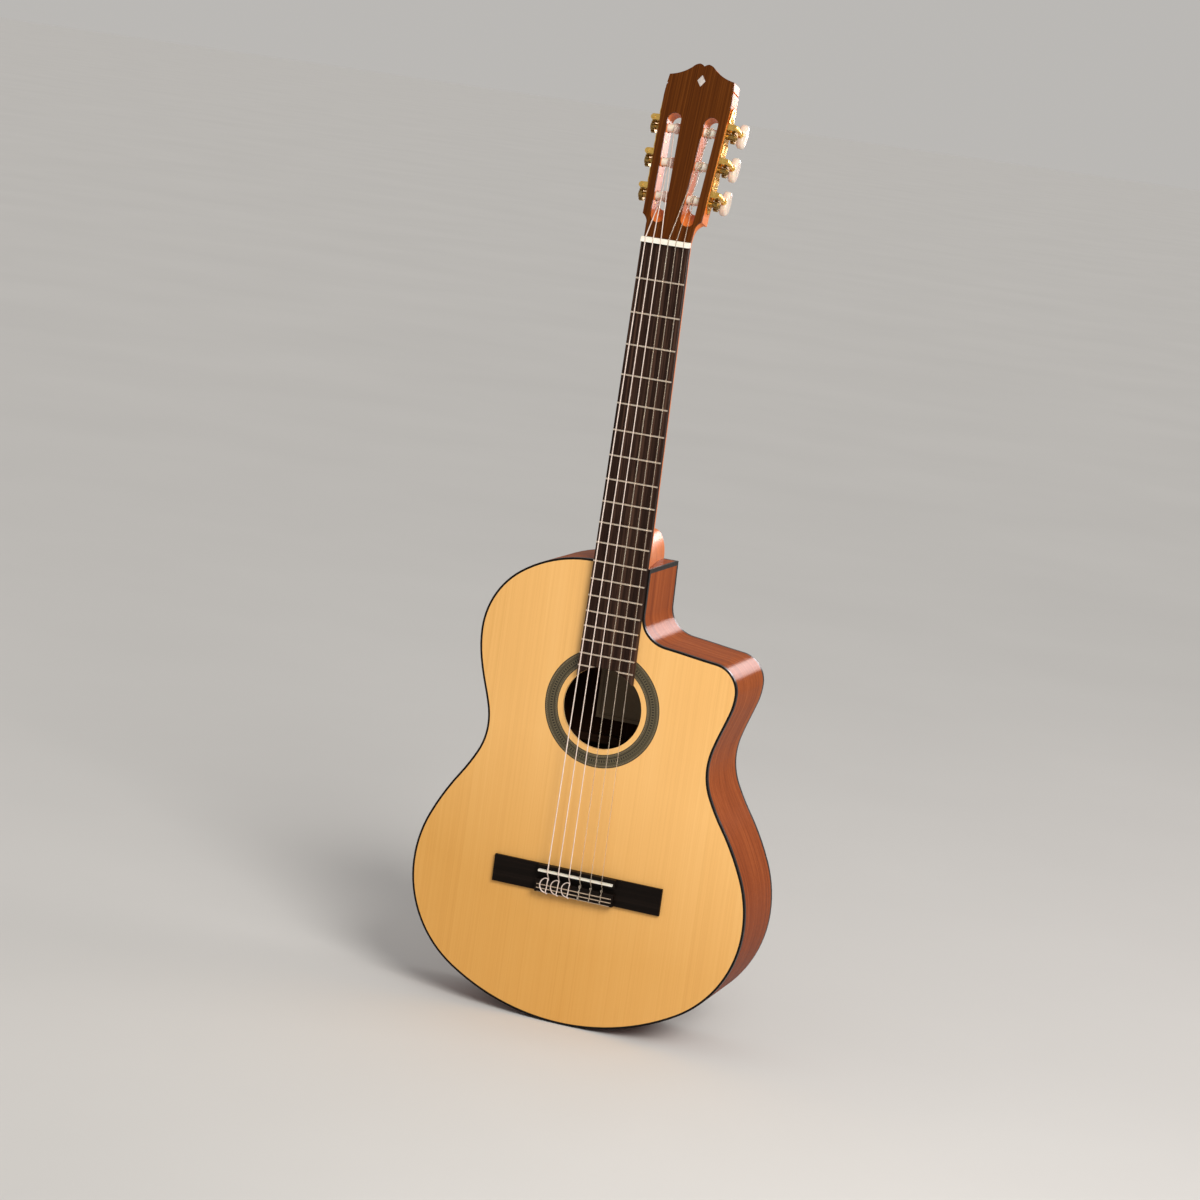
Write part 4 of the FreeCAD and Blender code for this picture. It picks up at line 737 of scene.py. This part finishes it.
def loop_tie(x, radius):
    """The wide loop of a wound string on the tie block, as seen from the tail end of the string."""
    top = TIE_BLOCK_DEPTH + radius + LOOP_GAP
    over = top + 2 * radius
    loop = [(1.7, top, -0.5), (0.4, top, 0.5), (-2.4, top, 0.8), (-5.2, top, 2.2),
            (-7.2, top, 5.6), (-7.5, top, 9.2), (-6.3, top, 12.6), (-3.8, top - 0.2, 15.0),
            (-1.2, over - 0.6, 16.0), (0.7, over - 0.8, 15.6), (0.9, over - 0.3, 13.8),
            (0.5, over - 0.5, 10.6), (0.2, top + 0.1, 5.6), (0, over, 2.2), (0, top + radius, 0.2)]
    return [bridge_point(x + shift, depth, rise) for shift, depth, rise in loop + TIE_ENTRY]


def twist_tie(x, radius):
    """The small tie of a nylon string: a tail that winds round the string over the tie block."""
    top = TIE_BLOCK_DEPTH + radius + TWIST_GAP
    reach = 2 * radius + SADDLE_GAP
    tail = []
    for step in range(TWIST_TURNS * TWIST_STEPS + 1):
        share = step / (TWIST_TURNS * TWIST_STEPS)
        angle = 2 * math.pi * TWIST_TURNS * share + math.pi / 2
        tail.append((reach * TWIST_ACROSS * math.cos(angle),
                     top + radius * 2 + reach * TWIST_DEEP * math.sin(angle),
                     TWIST_START + share * TWIST_LENGTH))
    knot = [(-0.9, top + 0.4, 14.8), (0.2, top + 1.0, 15.8), (1.0, top + 0.6, 14.8),
            (0.4, top + 0.3, 13.0), (0, top, 6.6), (0, top, 0.8)]
    path = tail + knot + TIE_ENTRY
    return [bridge_point(x + shift, depth, rise) for shift, depth, rise in path]


def roller_touch(number, leave, radius):
    """Where a string that leaves the nut first touches its roller."""
    side, along = string_side(number)
    inverse = HEAD.inverted()
    start = inverse @ leave
    centre = inverse @ (side_frame(side) @ Vector((SLOT_MIDDLE * MM, 0, along * MM)))
    reach = (ROLLER_RADIUS + radius + ROLLER_GAP) * MM
    run, fall = centre.z - start.z, centre.y - start.y
    heading = math.atan2(fall, run) - math.asin(reach / math.hypot(run, fall))
    length = math.sqrt(run ** 2 + fall ** 2 - reach ** 2)
    return HEAD @ Vector((centre.x, start.y + length * math.sin(heading),
                          start.z + length * math.cos(heading)))


def string_path(number, radius):
    """One string from its tie, over the saddle and the nut, to where it meets its roller."""
    share = 1 - 2 * (number - 1) / 5
    x = SADDLE_SPREAD * share
    tie = loop_tie(x, radius) if number in WOUND_STRINGS else twist_tie(x, radius)
    over_saddle = SADDLE_DEPTH + radius + SADDLE_GAP
    saddle_edge = SADDLE_HALF + EDGE_MARGIN
    nut_x = NUT_SPREAD * share * MM
    nut_y = FRONT - (NUT_DEPTH + radius + NUT_GAP) * MM
    leave = Vector((nut_x, nut_y, NUT + NUT_THICKNESS * MM))
    return tie + [
        bridge_point(x, TIE_HOLE_DEPTH, TIE_TOP_RISE + 2 * EDGE_MARGIN),
        bridge_point(x, over_saddle, SADDLE_RISE - saddle_edge),
        bridge_point(x, over_saddle, SADDLE_RISE + saddle_edge),
        Vector((nut_x, nut_y, NUT)), leave, roller_touch(number, leave, radius)]


def make_string(number):
    radius = STRING_DIAMETERS[number - 1] / 2
    path = rounded(string_path(number, radius), STRING_BEND * MM)
    shape = tube(path, radius * MM, 12)
    piece = mesh_piece("string_line_%d" % number, *shape, [MATERIALS["string_%d" % number]])
    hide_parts("string_%d" % number)


for number in STRING_NUMBERS:
    make_string(number)


# ---------------------------------------------------------------- rollers

# A roller, in millimetres: full collars at its ends, and a slightly slimmer barrel between them
# with the string's end wound on it.
COLLAR = 3.4
GROOVE = 0.5
ROLLER_LIP = 0.35
ROLLER_NECK = 2.6
ROLLER_TIP = 0.2
WINDING_TURNS = 4.4
WINDING_STEPS = 28
WINDING_GAP = 0.05
WINDING_START_PROUD = 0.55
WINDING_END_PROUD = 0.5
WINDING_END_SHIFT = 0.6
WINDING_END_TURN = 0.5


def roller_profile():
    near, far = -ROLLER_START, -ROLLER_START - ROLLER_LENGTH
    slope = COLLAR + GROOVE
    return [(near, ROLLER_NECK), (near, ROLLER_RADIUS - ROLLER_LIP),
            (near - ROLLER_LIP, ROLLER_RADIUS), (near - COLLAR, ROLLER_RADIUS),
            (near - slope, ROLLER_RADIUS - GROOVE), (far + slope, ROLLER_RADIUS - GROOVE),
            (far + COLLAR, ROLLER_RADIUS), (far + ROLLER_LIP, ROLLER_RADIUS),
            (far, ROLLER_RADIUS - ROLLER_LIP), (far, ROLLER_TIP)]


def winding(thick):
    """The end of a string on its roller: a coil whose two ends stand a little proud of it."""
    reach = ROLLER_RADIUS - GROOVE + thick / 2
    steps = int(WINDING_TURNS * WINDING_STEPS)
    path = []
    for step in range(steps + 1):
        share = step / steps
        angle = 2 * math.pi * WINDING_TURNS * share
        across = SLOT_MIDDLE - share * WINDING_TURNS * (thick + WINDING_GAP)
        spread = reach + WINDING_START_PROUD * (1 - share) ** 12
        path.append((across, -spread * math.cos(angle), spread * math.sin(angle)))
    angle += WINDING_END_TURN
    spread = reach + WINDING_END_PROUD
    path.append((across - WINDING_END_SHIFT, -spread * math.cos(angle), spread * math.sin(angle)))
    return path


def make_roller(number):
    """The nylon roller with the string's end wound on it."""
    side, along = string_side(number)
    spot = side_frame(side) @ Matrix.Translation((0, 0, along * MM))
    thick = STRING_DIAMETERS[number - 1]
    barrel = lathe(roller_profile(), spot, 48)
    coil = tube([spot @ (Vector(point) * MM) for point in winding(thick)], thick / 2 * MM, 10)
    points, faces = joined([barrel, coil])
    piece = mesh_piece("wound_roller_%d" % number, points, faces,
                       [NYLON, MATERIALS["string_%d" % number]], body="post_%d" % number)
    for index, polygon in enumerate(piece.data.polygons):
        polygon.material_index = 0 if index < len(barrel[1]) else 1
    piece.data.set_sharp_from_angle(angle=math.radians(40))
    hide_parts("roller_%d" % number)


for number in STRING_NUMBERS:
    make_roller(number)


# ---------------------------------------------------------------- plate ornament

# The openwork on a tuner plate, in millimetres up the plate and across its depth.
ORNAMENT_HEIGHT = 0.55
ORNAMENT_BEVEL = 0.12
ORNAMENT_GAP = 0.14
ORNAMENT_MARGIN = 0.5
ABOVE_POST = 12.2
BELOW_POST = 7.4
SCREW_RISE = 8.4
TOP_SCREW_DROP = 4.2
SCREW_HOLE = 2.5
TOP_MARGIN = 0.7
TOP_SHRINK = 2.4
CORNER_INSET = 1
FOOT_DIP = 0.6

# One opening beside a screw, and one above the foot of the top field, as (along, depth) corners
# in millimetres. Each is repeated by mirroring it.
SCROLL = ((2.2, 0.9), (4.2, 0.5), (6.0, 1.5), (6.6, 3.6), (5.4, 5.3), (3.6, 5.0), (4.5, 3.6),
          (3.9, 2.4), (2.6, 2.2))
TOP_OPENING = ((2.0, 1.0), (6.5, 0.9), (8.0, 2.6), (6.0, 4.4), (3.0, 5.0), (2.0, 3.0))


def spline_ring(curve, corners, start=0.0, up=1, out=1):
    """A smooth closed loop through corners in millimetres, from a start and mirrored by signs."""
    spline = curve.splines.new("BEZIER")
    spline.bezier_points.add(len(corners) - 1)
    for point, (along, depth) in zip(spline.bezier_points, corners):
        point.co = ((start + up * along) * MM, out * depth * MM, 0)
        point.handle_left_type = point.handle_right_type = "AUTO"
    spline.use_cyclic_u = True
    spline.resolution_u = 6


def ornament_field(curve, low, high, shrink, openings, screw):
    """One field of openwork: its outline, narrower at the top by shrink, and all its openings."""
    edge = PLATE_HALF - ORNAMENT_MARGIN
    half_way = (low + high) / 2
    corner = high - CORNER_INSET
    spline_ring(curve, [(low, -edge), (half_way, -edge + shrink / 3), (corner, -edge + shrink),
                        (high, 0), (corner, edge - shrink), (half_way, edge - shrink / 3),
                        (low, edge), (low + FOOT_DIP, 0)])
    for opening in openings:
        spline_ring(curve, *opening)
    quarters = [math.pi / 2 * step for step in range(4)]
    spline_ring(curve, [(SCREW_HOLE * math.cos(angle), SCREW_HOLE * math.sin(angle))
                        for angle in quarters], screw)


def ornament_curve():
    curve = bpy.data.curves.new("ornament", "CURVE")
    curve.dimensions = "2D"
    curve.fill_mode = "BOTH"
    curve.extrude = ORNAMENT_HEIGHT / 2 * MM
    curve.bevel_depth = ORNAMENT_BEVEL * MM
    curve.bevel_resolution = 1
    for post, after in zip(ROLLER_SPOTS, ROLLER_SPOTS[1:]):
        low = post + ABOVE_POST
        screw = low + SCREW_RISE
        scrolls = [(SCROLL, screw, up, out) for up in (1, -1) for out in (1, -1)]
        ornament_field(curve, low, after - BELOW_POST, 0, scrolls, screw)
    low = ROLLER_SPOTS[-1] + ABOVE_POST
    openings = [(TOP_OPENING, low, 1, out) for out in (1, -1)]
    ornament_field(curve, low, PLATE_TOP - TOP_MARGIN, TOP_SHRINK, openings,
                   PLATE_TOP - TOP_SCREW_DROP)
    return curve


def ornament(side):
    """Openwork of gold scrolls standing on a tuner plate between its posts."""
    flat = bpy.data.objects.new("ornament_flat", ornament_curve())
    mesh = bpy.data.meshes.new_from_object(flat)
    bpy.data.objects.remove(flat)
    place = side_frame(side)
    lift = (ORNAMENT_HEIGHT / 2 + ORNAMENT_GAP) * MM
    points = []
    for vertex in mesh.vertices:
        along, depth, height = vertex.co
        points.append(place @ Vector((height + lift, depth * side, along)))
    faces = [tuple(polygon.vertices) for polygon in mesh.polygons]
    name = "plate_scrolls_" + ("treble" if side > 0 else "bass")
    piece = mesh_piece(name, points, faces, [GOLD], smooth=False)


for side in (1, -1):
    ornament(side)


# ---------------------------------------------------------------- small trim on the bridge

# A line and its beads, in millimetres.
TRIM_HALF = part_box("tie_block_trim")[1].x / MM
TRIM_RADIUS = 0.32
TRIM_RISE = 0.35
TRIM_SINK = 0.15
BEAD_RADIUS = 0.55
BEAD_OFFSET = 0.8
BEAD_LIFT = 0.05
BEAD_STEPS = 8
BEAD_TIP = 0.001


def bridge_trim():
    """The pale line along the rear edge of the tie block, and beads at the inlaid lines' ends."""
    line = [bridge_point(end * TRIM_HALF, TIE_BLOCK_DEPTH - TRIM_SINK, TRIM_RISE)
            for end in (-1, 1)]
    shapes = [tube(line, TRIM_RADIUS * MM, 10)]
    for rise in TIE_LINE_RISES:
        place = Matrix.Translation(bridge_point(0, TIE_BLOCK_DEPTH + BEAD_LIFT, rise))
        for end in (-1, 1):
            bead = []
            for step in range(BEAD_STEPS + 1):
                angle = math.pi * (step / BEAD_STEPS - 0.5)
                bead.append((end * (TRIM_HALF + BEAD_OFFSET) + BEAD_RADIUS * math.sin(angle),
                             BEAD_RADIUS * math.cos(angle) + BEAD_TIP))
            shapes.append(lathe(bead, place, 14))
    piece = mesh_piece("tie_block_line", *joined(shapes), [INLAY_LINE])


bridge_trim()


# ---------------------------------------------------------------- camera

CAMERA_LENS = 102.43
CAMERA_PLACE = Vector((1.03281, -3.30175, 0.98732))
CAMERA_TARGET = Vector((0, -0.10465, 0.45340))
CAMERA_ROLL = math.radians(7.92)


def make_camera():
    """A camera aimed near the middle of the guitar and rolled as the photograph's was."""
    data = bpy.data.cameras.new("camera")
    data.sensor_width = 36
    data.lens = CAMERA_LENS
    data.clip_start = 0.05
    data.clip_end = 200
    camera = bpy.data.objects.new("camera", data)
    aim = (CAMERA_TARGET - CAMERA_PLACE).to_track_quat("-Z", "Y").to_matrix().to_4x4()
    roll = Matrix.Rotation(CAMERA_ROLL, 4, "Z")
    camera.matrix_world = Matrix.Translation(CAMERA_PLACE) @ aim @ roll
    SCENE.collection.objects.link(camera)
    SCENE.camera = camera


make_camera()


# ---------------------------------------------------------------- floor and light

FLOOR = (0.604, 0.600, 0.596)
FLOOR_HALF = 60
FLOOR_DROP = 0.0005
STUDIO = (0.52, 0.505, 0.485)
STUDIO_STRENGTH = 0.95


def floor():
    g = Graph("pale_floor")
    cloud = g.noise(g.point(), 1.5, 4)
    low = tuple(0.98 * part for part in FLOOR)
    high = tuple(1.02 * part for part in FLOOR)
    g.finish(g.cloudy(cloud, low, high), 0.8, g.bump(cloud, 0.1, 0.1), Specular_IOR_Level=0.1)
    mesh = bpy.data.meshes.new("floor")
    signs = ((-1, -1), (1, -1), (1, 1), (-1, 1))
    corners = [(x * FLOOR_HALF, y * FLOOR_HALF, 0) for x, y in signs]
    mesh.from_pydata(corners, [], [(0, 1, 2, 3)])
    mesh.materials.append(g.material)
    plane = bpy.data.objects.new("floor", mesh)
    plane.location.z = -FLOOR_DROP
    SCENE.collection.objects.link(plane)


floor()

world = bpy.data.worlds.new("studio")
SCENE.world = world
world.use_nodes = True
backdrop = world.node_tree.nodes["Background"]
backdrop.inputs[0].default_value = (*STUDIO, 1)
backdrop.inputs[1].default_value = STUDIO_STRENGTH


def lamp(kind, name, location, target, energy, colour, gloss_only=False, **settings):
    """A lamp aimed at a target. A gloss-only lamp shows in reflections and adds no other light."""
    light = bpy.data.lights.new(name, kind)
    light.energy = energy
    light.color = colour
    for key, value in settings.items():
        setattr(light, key, value)
    item = bpy.data.objects.new(name, light)
    item.location = location
    aim = Vector(target) - Vector(location)
    item.rotation_euler = aim.to_track_quat("-Z", "Y").to_euler()
    item.visible_camera = False
    item.visible_diffuse = not gloss_only
    SCENE.collection.objects.link(item)


lamp("SUN", "key", (2.3, -2.6, 2.8), (0, 0, 0.4), 1.75, (1.0, 0.96, 0.90),
     angle=math.radians(22))
lamp("AREA", "side", (1.6, 0.5, 1.5), (0, 0, 0.35), 5, (1.0, 0.93, 0.88), size=0.7)
lamp("AREA", "near", (0.75, -0.85, 1.05), (0.08, 0, 0.45), 8, (1.0, 0.96, 0.9), size=0.8)
lamp("AREA", "rim", (0.58, 2.84, 1.25), (0.08, 0, 0.41), 34, (1.0, 0.86, 0.86),
     gloss_only=True, size=0.9)

SCENE.view_settings.view_transform = "Standard"
SCENE.view_settings.look = "None"
